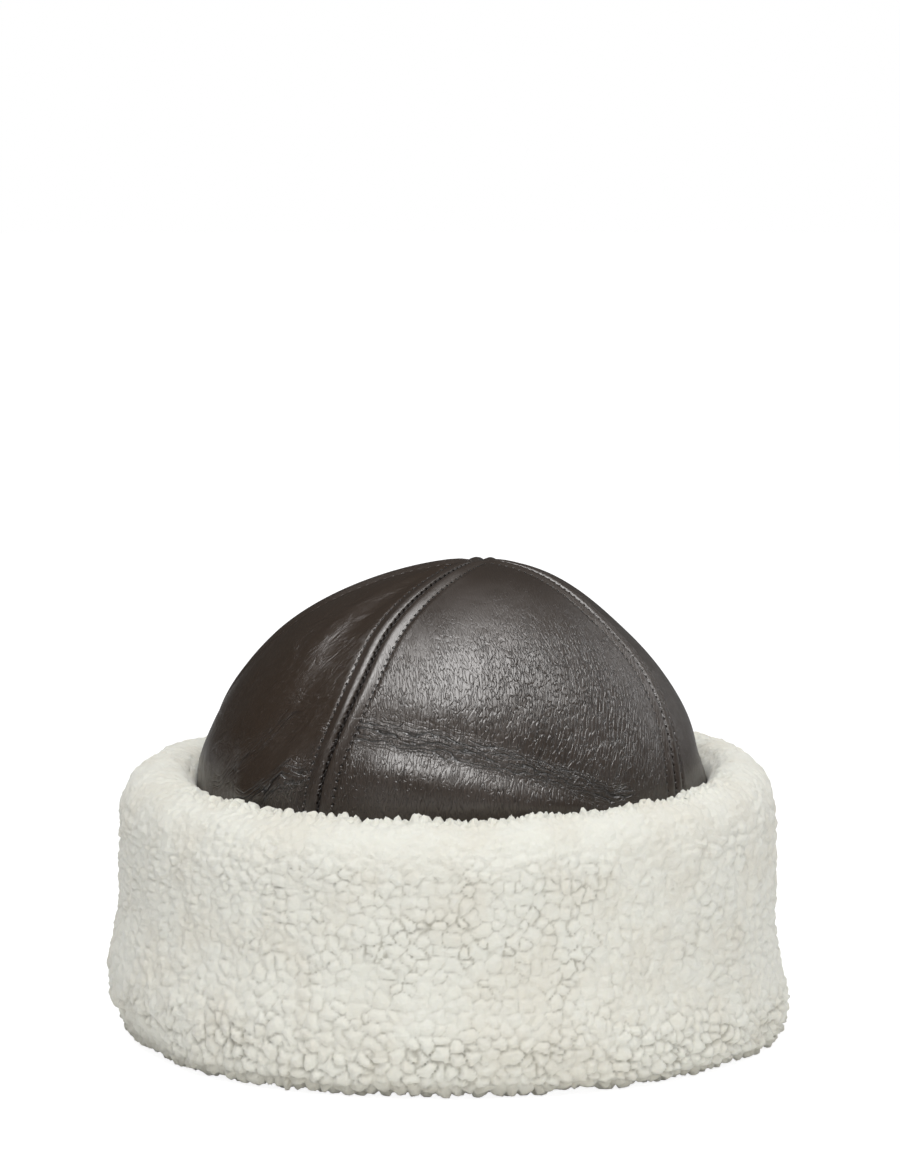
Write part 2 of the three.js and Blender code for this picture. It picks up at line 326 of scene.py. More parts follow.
@dataclass(frozen=True)
class CrownForm:
    """The crown's shape, from its wall inside the cuff to its peak.

    Lengths are in millimetres and angles in degrees, from the front towards the right.
    """

    axis_x: float
    axis_y: float
    edge: float
    peak: float
    radius: float = 102.9
    spring: float = 99.4
    radius_power: float = 1.04
    height_power: float = 1.19
    lean: float = 10.5
    lean_start: float = 160
    sweep_start: float = 103
    sweep_end: float = 166
    leather: float = 1.5
    gap: float = 0.3

    @classmethod
    def from_frame(cls) -> "CrownForm":
        """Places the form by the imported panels.

        Returns:
            The form.
        """
        boxes = {side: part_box(f"crown_panel_{side.value}") for side in Side}
        left, right = boxes[Side.LEFT][0].x, boxes[Side.RIGHT][1].x
        front, back = boxes[Side.FRONT][0].y, boxes[Side.BACK][1].y
        low, high = boxes[Side.FRONT][0].z, max(box[1].z for box in boxes.values())
        return cls((left + right) / 2 / MM, (front + back) / 2 / MM, low / MM, high / MM)

    def seam(self, number: int, height: Array) -> Array:
        """Angle of a seam at some heights.

        Args:
            number: 0 to 3 for the seams left of the front, right, back and left panels, and on from
                there for the same seams after a full turn.
            height: The heights.

        Returns:
            The angles.
        """
        feet = (-30.5, 59, 157, 254)
        sweeps = (5.5, 10.5, 9, 18)
        turn, number = divmod(number, 4)
        swept = ease(height, self.sweep_start, self.sweep_end)
        return feet[number] + 360 * turn + sweeps[number] * swept

    def section(self, share: Array) -> tuple[Array, Array, Array]:
        """Outline of the dome.

        Args:
            share: 0 at the spring line and 1 at the peak.

        Returns:
            Radius and height of the outside, and the way out as radius and height.
        """
        angle = (1 - share) * np.pi / 2
        radius, height = self._dome(angle)
        above = np.column_stack(self._dome(np.maximum(angle - 0.01, 0)))
        below = np.column_stack(self._dome(np.minimum(angle + 0.01, np.pi / 2)))
        across, up = unit(above - below).T
        out = np.column_stack([up, -across])
        out[share > 0.9999] = (0, 1)
        return radius, height, out

    def _dome(self, angle: Array) -> tuple[Array, Array]:
        """Radius and height at an angle from the peak.

        Args:
            angle: Angles from the peak, in radians.

        Returns:
            The radii and the heights.
        """
        rise = self.peak - self.spring
        radius = self.radius * np.clip(np.sin(angle), 0, 1) ** self.radius_power
        return radius, self.spring + rise * np.clip(np.cos(angle), 0, 1) ** self.height_power

    def risen(self, row: Array, wall_rows: int, dome_rows: int, edge: float) -> tuple[Array, Array, Array]:
        """Outline of the wall inside the cuff and the dome over it.

        Args:
            row: Row of each vertex, from the wall's foot up.
            wall_rows: Rows of the wall.
            dome_rows: Rows of the dome.
            edge: Height of the wall's foot.

        Returns:
            Radius and height of the outside, and the way out as radius and height.
        """
        up = (row - wall_rows) / dome_rows
        radius, height, out = self.section(np.clip(up, 0, 1))
        wall = up < 0
        height[wall] = edge + (self.spring - edge) * row[wall] / wall_rows
        return radius, height, out

    def facing(self, number: int) -> float:
        """The angle that a panel faces, by the number of the seam on its left."""
        return float(np.mean([self.seam(side, np.array(0.0)) for side in (number, number + 1)]))

    def place(self, radius: Array, height: Array, out: Array, depth: Array,
              azimuth: Array, facing: float | None) -> Array:
        """Places in the hat's frame, in metres.

        Args:
            radius: Radius of the crown's outside.
            height: Height of the crown's outside.
            out: The way out at those places.
            depth: How far below the outside.
            azimuth: Angle round the crown.
            facing: The panel's own angle, or None for what isn't in a panel.

        Returns:
            The places, one a row.
        """
        sunk_radius = radius - depth * out[:, 0]
        sunk_height = height - depth * out[:, 1]
        risen = np.clip((height - self.lean_start) / (self.peak - self.lean_start), 0, None)
        right = self.axis_x + self.lean * risen**2 + sunk_radius * np.sin(np.radians(azimuth))
        back = self.axis_y - sunk_radius * np.cos(np.radians(azimuth))
        if facing is not None:
            shift = self.gap / 2 * math.sqrt(2)
            right = right + shift * math.sin(math.radians(facing))
            back = back - shift * math.cos(math.radians(facing))
        return np.column_stack([right, back, sunk_height]) * MM


# Dents and folds in the leather: each is an arc through its start, its middle and its end
FOLDS: tuple[Row, ...] = (
    {"azimuth": -26, "height": 133.5, "middle": 125, "to_azimuth": 38, "to_height": 106, "width": 8.5,
     "depth": 1.8, "creased": 1},
    {"azimuth": -16, "height": 117, "middle": 111, "to_azimuth": 26, "to_height": 102, "width": 9,
     "depth": -1.9, "creased": 0},
    {"azimuth": -52, "height": 99, "middle": 105, "to_azimuth": -41, "to_height": 114, "width": 9,
     "depth": -2.6, "creased": 1},
    {"azimuth": -66, "height": 102, "middle": 118, "to_azimuth": -45, "to_height": 137, "width": 8,
     "depth": 1.2, "creased": 0.25},
    {"azimuth": -92, "height": 106, "middle": 118, "to_azimuth": -60, "to_height": 128, "width": 10,
     "depth": -0.8, "creased": 0},
    {"azimuth": 84, "height": 112, "middle": 122, "to_azimuth": 128, "to_height": 136, "width": 9,
     "depth": 1.5, "creased": 0.7},
    {"azimuth": 170, "height": 134, "middle": 127, "to_azimuth": 222, "to_height": 112, "width": 9,
     "depth": 1.7, "creased": 0.8},
)


@dataclass(frozen=True)
class SeamForm:
    """Relief of the leather beside a seam, by the distance from it, in millimetres."""

    groove_depth: float = 1.4
    groove_width: float = 0.6
    roll_at: float = 2.8
    roll_height: float = 0.8
    roll_width: float = 1.9
    channel_at: float = 6.3
    channel_depth: float = 0.5
    channel_width: float = 1.0
    narrowed: float = 0.4
    lip_at: float = 8.6
    lip_height: float = 0.1
    lip_width: float = 1.4
    puff_height: float = 0.15
    puff_start: float = 7
    puff_end: float = 24
    pitch: float = 3.1
    pucker: float = 0.13
    pressed_below: float = 98
    free_above: float = 107
    flat_radius: float = 9
    mound_height: float = -0.4
    mound_radius: float = 8
    lump_height: float = 0.4
    lump_size: float = 2.6

    def relief(self, distance: Array, along: Array, tight: Array) -> Array:
        """Height of the leather over its plain form.

        Args:
            distance: How far from the seam.
            along: How far up the seam, which times the puckers.
            tight: 1 on the side of the seam where the channel is narrow, 0 on the other side.

        Returns:
            The heights, below zero where the leather is drawn in.
        """
        beat = np.cos(2 * np.pi * along / self.pitch)
        rise = self.roll_height * swell(distance, self.roll_at, self.roll_width)
        rise = rise + self.lip_height * swell(distance, self.lip_at, self.lip_width)
        rise = rise + self.puff_height * ease(distance, self.puff_start, self.puff_end)
        fall = self.groove_depth * swell(distance, 0, self.groove_width)
        narrow = 1 - self.narrowed * tight
        width = self.channel_width * narrow
        fall = fall + self.channel_depth * narrow * swell(distance, self.channel_at, width)
        drawn = swell(distance, self.channel_at + 1.4, 1.5) + swell(distance, 1, 0.9)
        return rise - fall + self.pucker * beat * drawn


@dataclass(frozen=True)
class Folded:
    """What the folds do at each of some places on the crown.

    Attributes:
        depth: How far the leather is pushed in, in millimetres.
        creased: How creased it is, from 0 to 1.
        place: Place along and across the nearest fold, and a number for the fold.
    """

    depth: Array
    creased: Array
    place: Array


def fold_leather(azimuth: Array, height: Array, radius: Array) -> Folded:
    """Works out what the folds do at some places on the crown.

    Args:
        azimuth: Angles of the places, in degrees.
        height: Heights of the places.
        radius: The crown's radius at the places.

    Returns:
        The folds' depth, creases and places along them.
    """
    depth = np.zeros_like(azimuth)
    creased = np.zeros_like(azimuth)
    place = np.zeros((len(azimuth), 3))
    for number, fold in enumerate(FOLDS):
        run = fold["to_azimuth"] - fold["azimuth"]
        share = ((azimuth - fold["azimuth"] + 180 - run / 2) % 360 - 180 + run / 2) / run
        held = np.clip(share, 0, 1)
        start, end = (1 - held) * (1 - 2 * held), held * (2 * held - 1)
        line = fold["height"] * start + fold["middle"] * 4 * held * (1 - held) + fold["to_height"] * end
        slope = (fold["to_height"] - fold["height"]) / np.maximum(math.radians(run) * radius, 1)
        across = (height - line) / np.hypot(1, slope)
        past = (share - held) * math.radians(run) * radius
        away = np.hypot(across, past) / fold["width"]
        depth += fold["depth"] * np.exp(-(away**2))
        if fold["creased"] > 0:
            band = np.hypot((across - 0.8) / 4, past / fold["width"])
            strength = np.exp(-(band**2)) * fold["creased"]
            nearest = strength > creased
            along = share * math.radians(run) * radius
            place[nearest] = np.column_stack([along, across, np.full(len(along), 40.0 * number)])[nearest]
            creased = np.maximum(creased, strength)
    return Folded(depth, creased, place)


def slab(columns: int, rows: int) -> tuple[Piece, Array, Array, Array]:
    """A flat grid with a thickness, to be bent to its place.

    Args:
        columns: Steps across.
        rows: Steps up.

    Returns:
        The object, and for each vertex its column, its row, and whether it is outside.
    """
    bpy.ops.mesh.primitive_grid_add(x_subdivisions=columns, y_subdivisions=rows, size=1)
    piece = bpy.context.object
    with editing(piece):
        bpy.ops.mesh.extrude_region_move(TRANSFORM_OT_translate={"value": (0, 0, 1)})
    flat = read_points(piece.data)
    column = np.rint((flat[:, 0] + 0.5) * columns).astype(int)
    row = np.rint((flat[:, 1] + 0.5) * rows).astype(int)
    return piece, column, row, flat[:, 2] > 0.5


def rolled(section: Array, columns: int) -> tuple[Piece, Array, Array]:
    """A flat grid, to be rolled into a ring with a closed section.

    Args:
        section: Radius and height of each point round the section.
        columns: Steps round the ring.

    Returns:
        The object, and for each vertex its point in the section and its angle round the ring.
    """
    bpy.ops.mesh.primitive_grid_add(x_subdivisions=columns, y_subdivisions=len(section), size=1)
    ring = only(bpy.context.object)
    flat = read_points(ring.data)
    azimuth = (flat[:, 0] + 0.5) * 2 * np.pi
    azimuth[flat[:, 0] > 0.5 - 1e-5] = 0
    return ring, np.rint((flat[:, 1] + 0.5) * len(section)).astype(int) % len(section), azimuth


def close_up(piece: Piece) -> None:
    """Joins the vertices that have met, and turns the faces outwards.

    Args:
        piece: The mesh object.
    """
    with editing(piece):
        bpy.ops.mesh.remove_doubles(threshold=1e-6)
        bpy.ops.mesh.normals_make_consistent(inside=False)
    bpy.ops.object.shade_smooth()


def write_surface_map(mesh: Mesh, across: Array, up: Array) -> None:
    """Gives the mesh a UV map that follows the surface, in metres.

    Args:
        mesh: The mesh.
        across: Place of each vertex across the surface.
        up: Place of each vertex up the surface.
    """
    layer = mesh.uv_layers.get("surface") or mesh.uv_layers.new(name="surface")
    corners = fetch(mesh.loops, "vertex_index")
    flat = np.column_stack([across[corners], up[corners]])
    layer.data.foreach_set("uv", flat.astype(np.float32).ravel())


@dataclass
class CrownPanels:
    """The four leather panels of the crown."""

    form: CrownForm
    seam: SeamForm
    material: Material
    seam_steps: float = 0.5
    seam_reach: float = 10
    open_steps: int = 46
    wall_rows: int = 12
    dome_rows: int = 126
    hollow: float = 1.6
    hollow_at: float = 20
    hollow_width: float = 13
    shadow_height: float = 120
    shadow_slope: float = 0.8

    def build(self) -> None:
        """Makes the panels and puts them on the model."""
        for number, side in enumerate(Side):
            self._panel(number, side)

    def _shares(self) -> tuple[Array, Array]:
        """Lays out the columns of half a panel, close together beside the seam.

        Returns:
            The distances from the seam to the panel's middle, and as many even shares from 0 to 1.
        """
        near = np.arange(0, self.seam_reach, self.seam_steps)
        end = self.form.radius * math.pi / 4
        grown = np.linspace(0, 1, self.open_steps + 1)
        far = self.seam_reach + (end - self.seam_reach) * (0.45 * grown + 0.55 * grown**2)
        distances = np.concatenate([near, far])
        return distances, np.linspace(0, 1, len(distances))

    def _panel(self, number: int, side: Side) -> None:
        """Makes one panel.

        Args:
            number: The number of the seam on its left.
            side: The way it faces.
        """
        distances, even = self._shares()
        half = len(distances) - 1
        piece, column, row, outside = slab(2 * half, self.wall_rows + self.dome_rows)
        radius, height, out = self.form.risen(row, self.wall_rows, self.dome_rows, self.form.edge)
        start, end = self.form.seam(number, height), self.form.seam(number + 1, height)
        half_arc = np.radians(end - start) / 2 * radius
        step = np.minimum(column, 2 * half - column)
        from_seam = np.minimum(distances[step] * (half_arc / distances[-1]) ** 0.15, even[step] * half_arc)
        from_seam[step == half] = half_arc[step == half]
        turn = np.degrees(from_seam / np.maximum(radius, 1e-9))
        turn[radius < 1e-6] = 0
        azimuth = np.where(column <= half, start + turn, end - turn)
        along = self._climb(row)
        free = ease(height, self.seam.pressed_below, self.seam.free_above)
        free = free * ease(radius, 0, self.seam.flat_radius)
        folded = fold_leather(azimuth, height, radius)
        away = ease(from_seam, 3, 12)
        tight = (column > half).astype(float)
        hollow = self.hollow * swell(from_seam, self.hollow_at, self.hollow_width) * tight
        inward = ease(from_seam / np.maximum(half_arc, 1e-9), 0.45, 0.9)
        hollow = hollow * (side is Side.LEFT) * (1 - inward)
        raised = free * (self.seam.relief(from_seam, along, tight) - away * folded.depth - hollow)
        angle = np.radians(azimuth)
        spots = np.column_stack([radius * np.sin(angle), radius * np.cos(angle), height])
        lumps = self.seam.mound_height + self.seam.lump_height * drift(spots / self.seam.lump_size, 61)
        raised = raised + lumps * swell(radius, 0, self.seam.mound_radius)
        sunk = np.where(outside, 0, self.form.leather) - raised
        facing = self.form.facing(number)
        write_points(piece.data, self.form.place(radius, height, out, sunk, azimuth, facing))
        write_values(piece.data, "seam_distance", from_seam * MM)
        write_values(piece.data, "creased", folded.creased * ease(from_seam, 5, 9) * free)
        write_values(piece.data, "grained", self._grained(azimuth, height, spots, from_seam))
        # Where the left panel turns from the light, for painted shade in the leather's colour, lower
        # roughness and looser wrinkles
        left_shade = self._shadow(height, from_seam) * ease(from_seam, 4, 7)
        write_values(piece.data, "left_shade", left_shade * (side is Side.LEFT))
        write_values(piece.data, "fold", folded.place * MM)
        arc = np.where(column <= half, from_seam, 2 * half_arc - from_seam)
        write_surface_map(piece.data, (arc - half_arc) * MM, along * MM)
        close_up(piece)
        settle(piece, f"crown_leather_{side.value}", f"crown_panel_{side.value}", self.material)

    def _shadow(self, height: Array, from_seam: Array) -> Array:
        """Where the left panel turns from the light: 0 low beside a seam, and 1 away from it and high."""
        return ease(from_seam + (height - self.shadow_height) * self.shadow_slope, 4, 20)

    def _grained(self, azimuth: Array, height: Array, spots: Array, from_seam: Array) -> Array:
        """How grainy the leather is: smooth near the peak and rougher to the right.

        Args:
            azimuth: Angle of each vertex, in degrees.
            height: Height of each vertex.
            spots: Place of each vertex on the plain form.
            from_seam: Distance of each vertex from its nearer seam.

        Returns:
            The graininess, about 1 on the front.
        """
        right_hand = np.sin(np.radians(azimuth))
        spots = spots / 20
        patches = 0.75 + 0.25 * ease(drift(spots, 77), -0.6, 0.2)
        patches = patches * (0.4 + 0.6 * ease(from_seam, 4.6, 7))
        high = 1 - 0.85 * ease(height + 8 * drift(spots * 2.5, 78), 148, 180)
        low = 1 - 0.7 * (1 - ease(height, 103, 116)) * ease(right_hand, 0.0, 0.4)
        left = 1 + ease(-right_hand, 0.42, 0.52) * (1.2 - 1.9 * self._shadow(height, from_seam))
        right = 1 - 0.6 * ease(right_hand + 0.1 * drift(spots * 2.5, 79), 0.72, 0.98)
        rougher = 1 + 1.3 * ease(right_hand, 0.02, 0.4)
        return patches * high * low * left * right * rougher

    def _climb(self, row: Array) -> Array:
        """Length up the panel from the spring line.

        Args:
            row: Row of each vertex.

        Returns:
            The length to each vertex.
        """
        share = np.linspace(0, 1, self.dome_rows + 1)
        length = lengths(np.column_stack(self.form.section(share)[:2]))
        step = (self.form.spring - self.form.edge) / self.wall_rows
        return np.where(row < self.wall_rows, (row - self.wall_rows) * step,
                        length[np.clip(row - self.wall_rows, 0, self.dome_rows)])


@dataclass(frozen=True)
class WoolForm:
    """How the wool stands in tufts. Lengths are in millimetres."""

    tuft: float = 5.2
    stretched: float = 1.7
    small: float = 0.8
    curl: float = 2.4
    shoulder: float = 1.9
    crease_width: float = 0.8
    warp: float = 4.2
    bend: float = 1.3
    uncounted: int = 100000
    wave: float = 26
    ripple: float = 10

    def relief(self, places: Array, sheet: Array, girth: float, stretch: Array,
               small: Array) -> tuple[Array, Array]:
        """Height of the wool in tufts, and the creases between them.

        Args:
            places: Places in space, one a row, in millimetres.
            sheet: The same places on the wool laid flat: along it, up it, and 0.
            girth: Length of the flat wool once round, or 0 where it doesn't close on itself.
            stretch: 0 where tufts are round and 1 where they are drawn out sideways.
            small: 0 where tufts are of full size and 1 where they are small.

        Returns:
            Tuft height from 0 to about 1.4, and how deep in a crease each place is, from 0 to 1.
        """
        warp = np.column_stack([drift(places / self.warp, seed) for seed in (3, 17)]) * self.bend
        bent = sheet.copy()
        bent[:, :2] += warp
        height, crease = self._cobbles(bent, girth, (1, 1), 101)
        for share, scale, seed in (
            (stretch, (self.stretched, 0.85), 202),
            (small, (self.small, self.small), 404),
        ):
            some = share > 0
            if some.any():
                other_height, other_crease = self._cobbles(bent[some], girth, scale, seed)
                height[some] += (other_height - height[some]) * share[some]
                crease[some] += (other_crease - crease[some]) * share[some]
        curl = tufts_at(places / self.curl, 303)
        curled = 1 - (1 - np.clip(curl.edge / 0.3, 0, 1)) ** 2
        return height + 0.22 * (curled - 0.7), crease

    def _cobbles(self, sheet: Array, girth: float, scale: tuple[float, float],
                 seed: int) -> tuple[Array, Array]:
        """Plump tufts, each at its own height and tilt.

        Args:
            sheet: Places on the wool laid flat.
            girth: Length of the flat wool once round, or 0 where it doesn't close on itself.
            scale: Size of the tufts along and up the wool, 1 for the full size.
            seed: Sets one field of tufts apart from another.

        Returns:
            Their height and their creases.
        """
        turn = round(girth / (self.tuft * scale[0])) if girth else self.uncounted
        wide = girth / turn if girth else self.tuft * scale[0]
        found = tufts_at(sheet / (wide, self.tuft * scale[1], 1), seed, turn)
        inside = found.edge * self.tuft * min(scale)
        round_off = 1 - np.clip(inside / self.shoulder, 0, 1)
        dome = np.sqrt(1 - round_off**2)
        tilt = (found.away * (found.lot - 0.5)).sum(1) * 0.6
        bulge = 0.35 * (1 - np.clip((found.away**2).sum(1) / 0.4, 0, 1))
        height = 0.3 * (found.lot[:, 2] - 0.5) + dome * (0.62 + 0.3 * found.lot[:, 0] + tilt + bulge)
        crease = np.clip(1 - inside / self.crease_width, 0, 1)
        return height, crease * (0.35 + 0.65 * found.lot[:, 0])

    def swells(self, places: Array) -> Array:
        """Slow unevenness of the wool, in millimetres."""
        return 0.9 * drift(places / self.wave, 7) + 0.45 * drift(places / self.ripple, 23)


# The cuff's outside, from the floor over the bulge and the wall to the ledge beside the crown
CUFF_OUTSIDE: tuple[Row, ...] = (
    {"radius": 130, "height": 0},
    {"radius": 134.6, "height": 2},
    {"radius": 137.2, "height": 9.5},
    {"radius": 137.6, "height": 22},
    {"radius": 135.4, "height": 34},
    {"radius": 132.8, "height": 50},
    {"radius": 132.6, "height": 72},
    {"radius": 132.2, "height": 92},
    {"radius": 127.6, "height": 104.5},
    {"radius": 119, "height": 109.6},
    {"radius": 110.5, "height": 109},
    {"radius": 105.2, "height": 104.6},
)
# The cuff's mouth, from inside the head opening down round the fold and out along the floor
CUFF_MOUTH: tuple[Row, ...] = (
    {"radius": 92, "height": 14},
    {"radius": 90, "height": 12},
    {"radius": 90.8, "height": 6.5},
    {"radius": 95, "height": 2.2},
    {"radius": 101, "height": 0.4},
    {"radius": 108, "height": 0},
    {"radius": 129, "height": 0},
)


@dataclass(frozen=True)
class CuffForm:
    """The cuff's shape. Lengths are in millimetres."""

    axis_x: float
    axis_y: float
    crown_radius: float
    top: float = 109.6
    dip: float = 3.2
    roll: float = 1.3
    sag: float = 4
    tuck: float = 5
    twist: float = 0.28
    twist_top: float = 90
    skin_top: float = 98
    lip: float = 14
    fold_radius: float = 3.4
    fold_height: float = 8.9
    leather: float = 1.5
    gap: float = 0.3

    @classmethod
    def from_crown(cls, crown: CrownForm) -> "CuffForm":
        """Places the cuff round the crown."""
        return cls(crown.axis_x, crown.axis_y, crown.radius)

    def arc(self, radius: float, steps: int) -> Array:
        """The fold in section, from its outside leg under the turn to its inside leg.

        Args:
            radius: Radius of the turn.
            steps: How many steps it is cut into.

        Returns:
            Radius and height of each point.
        """
        middle = self.crown_radius - self.leather / 2 + self.fold_radius
        angle = -np.pi * np.linspace(0, 1, steps + 1)
        return np.column_stack([middle + radius * np.cos(angle), self.fold_height + radius * np.sin(angle)])

    def uneven(self, height: Array, azimuth: Array) -> Array:
        """Heights with the dip, the roll, the front's sag and the bulge's twist.

        Args:
            height: Heights of the plain form.
            azimuth: Angles round the cuff, in radians.

        Returns:
            The uneven heights.
        """
        sunk = self.dip * np.cos(azimuth) + self.sag * ease(np.cos(azimuth), 0.05, 0.6)
        tilt = (height / self.top) ** 2 * (self.roll * np.sin(azimuth) - sunk)
        twist = self.twist * height * np.clip(1 - height / self.twist_top, 0, None) * np.sin(azimuth)
        return height + tilt - twist

    def around(self, radius: Array, height: Array, azimuth: Array, centred: Array | float = 1) -> Array:
        """Places in the hat's frame, in metres.

        Args:
            radius: Radius of each place.
            height: Height of each place.
            azimuth: Angle round the cuff, in radians.
            centred: 1 for places round the crown's axis and 0 for places round the origin.

        Returns:
            The places, one a row.
        """
        right = self.axis_x * centred + radius * np.sin(azimuth)
        back = self.axis_y * centred - radius * np.cos(azimuth)
        return np.column_stack([right, back, height]) * MM

    def tucked(self, radius: Array, height: Array, azimuth: Array) -> Array:
        """How far in the bottom edge is tucked on the left. Azimuth is in radians."""
        return self.tuck * swell(height, 5, 8) * ease(-np.sin(azimuth), 0.6, 1) * ease(radius, 118, 130)


@dataclass
class CuffFleece:
    """The wool of the cuff, in three pieces that meet without a step."""

    form: CuffForm
    wool: WoolForm
    material: Material
    columns: int = 940
    spacing: float = 0.9
    mouth_spacing: float = 1.8
    unrolled_radius: float = 130
    patch_size: float = 13
    # Painted contact shadow: how dark the outside gets by the floor
    floor_shadow: float = 0.7
    low_lift: float = 1.3
    tuft_height: float = 1.6
    mouth_height: float = 0.7
    knob_height: float = 1.4
    crest_height: float = 2.1
    ledge_pressed: float = 0.4
    # How strongly painted shade darkens the creases on the outside and in the mouth
    crease_shown: float = 0.5
    mouth_shown: float = 0.3

    def build(self) -> None:
        """Makes the ring, raises its tufts, and parts it into its pieces."""
        outline, zones = self._outline()
        ring, point, azimuth = rolled(outline, self.columns)
        self._raise_tufts(ring, outline, zones, point, azimuth)
        close_up(ring)
        self._part(ring)

    def _outline(self) -> tuple[Array, Array]:
        """Lays out the wool's section: the mouth, the outside, and what the crown and the fold hide.

        Returns:
            Radius and height of each point, and each point's zone.
        """
        mouth = spline(CUFF_MOUTH, self.mouth_spacing)
        outside = spline(CUFF_OUTSIDE, self.spacing)
        wall = self.form.crown_radius + 0.5
        fold = self.form.arc(self.form.fold_radius + self.form.leather / 2 + self.form.gap, 6)
        hidden = np.vstack([
            [wall, 101],
            [wall, self.form.skin_top + self.form.gap],
            [fold[0, 0], self.form.skin_top + self.form.gap],
            [fold[0, 0], 55],
            fold,
            [fold[-1, 0], self.form.lip],
        ])
        zones = [Zone.MOUTH.value] * len(mouth) + [Zone.OUTSIDE.value] * len(outside)
        zones += [Zone.HIDDEN.value] * len(hidden)
        return np.vstack([mouth, outside, hidden]), np.array(zones)

    def _raise_tufts(self, ring: Piece, outline: Array, zones: Array, point: Array, azimuth: Array) -> None:
        """Rolls the grid up, moves the wool out to its tufts, and keeps its painted shade, in the creases
        and by the floor.

        Args:
            ring: The flat grid.
            outline: Radius and height of each point of the section.
            zones: Zone of each point of the section.
            point: Each vertex's point in the section.
            azimuth: Each vertex's angle round the ring.
        """
        section, zone = outline[point], zones[point]
        plain_radius, plain_height = section.T
        across, up = unit(np.roll(outline, -1, axis=0) - np.roll(outline, 1, axis=0))[point].T
        raised, crease = self._tufts(section, zone, azimuth, lengths(outline)[point])
        low = (zone == Zone.HIDDEN.value) & (plain_height < 2 * self.form.fold_height)
        flat = (zone == Zone.MOUTH.value) | (plain_height <= 0) | low
        level = np.where(flat, plain_height, self.form.uneven(plain_height, azimuth))
        lift = self.low_lift * (1 - ease(plain_height, 0, 8)) * ease(plain_radius, 118, 128)
        radius = plain_radius + raised * up - self.form.tucked(plain_radius, plain_height, azimuth)
        height = np.maximum(level - raised * across + lift, 0)
        centred = ease(plain_radius, 126, 104)
        write_points(ring.data, self.form.around(radius, height, azimuth, centred))
        # The crease attribute is painted shade: in the creases and by the floor
        write_values(ring.data, "crease", crease)

    def _tufts(self, section: Array, zones: Array, azimuth: Array, reach: Array) -> tuple[Array, Array]:
        """How far the wool stands over the plain form, and how much painted shade it has, in the creases
        and by the floor.

        Args:
            section: Radius and height of each vertex in the section.
            zones: Zone of each vertex.
            azimuth: Angle of each vertex, in radians.
            reach: Length along the section to each vertex.

        Returns:
            The wool's height in millimetres, and its painted shade from 0 to 1: in the creases, and a
            contact shadow by the floor.
        """
        shown = zones != Zone.HIDDEN.value
        girth = 2 * np.pi * self.unrolled_radius
        circle = self.unrolled_radius * np.column_stack([np.sin(azimuth), -np.cos(azimuth)])
        unrolled = np.column_stack([circle, reach])[shown]
        sheet = np.column_stack([self.unrolled_radius * azimuth, reach, np.zeros(len(reach))])[shown]
        regions = self._regions(section, azimuth, zones)
        strength, stretch, small, crease_shade = (region[shown] for region in regions)
        tufts, deep = self.wool.relief(unrolled, sheet, girth, stretch, small)
        patchy = np.clip(0.85 + 0.45 * drift(unrolled / self.patch_size, 55), 0.4, 1.15)
        patchy = np.maximum(patchy, small)
        height, crease = np.zeros(len(reach)), np.zeros(len(reach))
        height[shown] = strength * (tufts * (0.4 + 0.6 * patchy) - 0.5)
        height[shown] += np.minimum(strength, 1) * self.wool.swells(unrolled)
        # The crease attribute holds painted shade, which darkens the wool's colour
        crease[shown] = deep * patchy * crease_shade
        # Painted contact shadow on the outside's lowest 12 mm, by the floor
        near_floor = (zones == Zone.OUTSIDE.value) * (1 - ease(section[:, 1], 0, 12))
        return height, np.maximum(crease, self.floor_shadow * near_floor)

    def _regions(self, section: Array, azimuth: Array, zones: Array) -> tuple[Array, Array, Array, Array]:
        """How the wool changes over the cuff.

        Args:
            section: Radius and height of each vertex in the section.
            azimuth: Angle of each vertex, in radians.
            zones: Zone of each vertex.

        Returns:
            Height of the tufts in millimetres, how much they are drawn out sideways, how much they
            are small ones that stand up, and how strongly painted shade darkens their creases.
        """
        radius, height = section.T
        knobs = 1 - ease(height, 12, 32)
        ledge = ease(height, 92, 105)
        crest = ease(height, 104, 107.5) * (1 - ease(radius, 116, 123)) * ease(radius, 105, 107.5)
        crest = crest * ease(np.cos(azimuth), 0.1, 0.75)
        strength = self.tuft_height + self.knob_height * knobs
        strength = strength - self.ledge_pressed * ledge + self.crest_height * crest
        strength = np.where(zones == Zone.MOUTH.value, self.mouth_height, strength)
        strength = strength * (1 - 0.7 * (1 - ease(radius, 104.6, 106.5)) * (height > 100))
        right = ease(np.sin(azimuth), 0.4, 0.8) * ease(height, 28, 42)
        left = 0.7 * ease(-np.sin(azimuth), 0.5, 0.9)
        stretch = np.clip(right + left, 0, 1) * (1 - ledge)
        small = np.clip(crest + 0.5 * ledge, 0, 1)
        # Painted crease shade: strongest on the knobs near the floor and in the middle of the front, weaker
        # on the ledge
        middle = swell(height, 64, 32) * swell(np.sin(azimuth), 0.08, 0.5)
        crease_shade = (self.crease_shown + 0.55 * knobs + 0.5 * middle) * (1 - 0.6 * ledge)
        crease_shade = np.where(zones == Zone.MOUTH.value, self.mouth_shown, crease_shade)
        return strength, stretch, small, crease_shade

    def _part(self, ring: Piece) -> None:
        """Parts the ring into closed pieces of under 200,000 triangles, with the ring's own shading.

        Args:
            ring: The whole ring, which becomes the last piece.
        """
        write_values(ring.data, "ring_normal", fetch(ring.data.vertex_normals, "vector", 3))
        for name, start, end in (("front", -80, 80), ("right", 80, 180)):
            self._cap(self._separate(ring, start, end), name)
        self._cap(ring, "left")

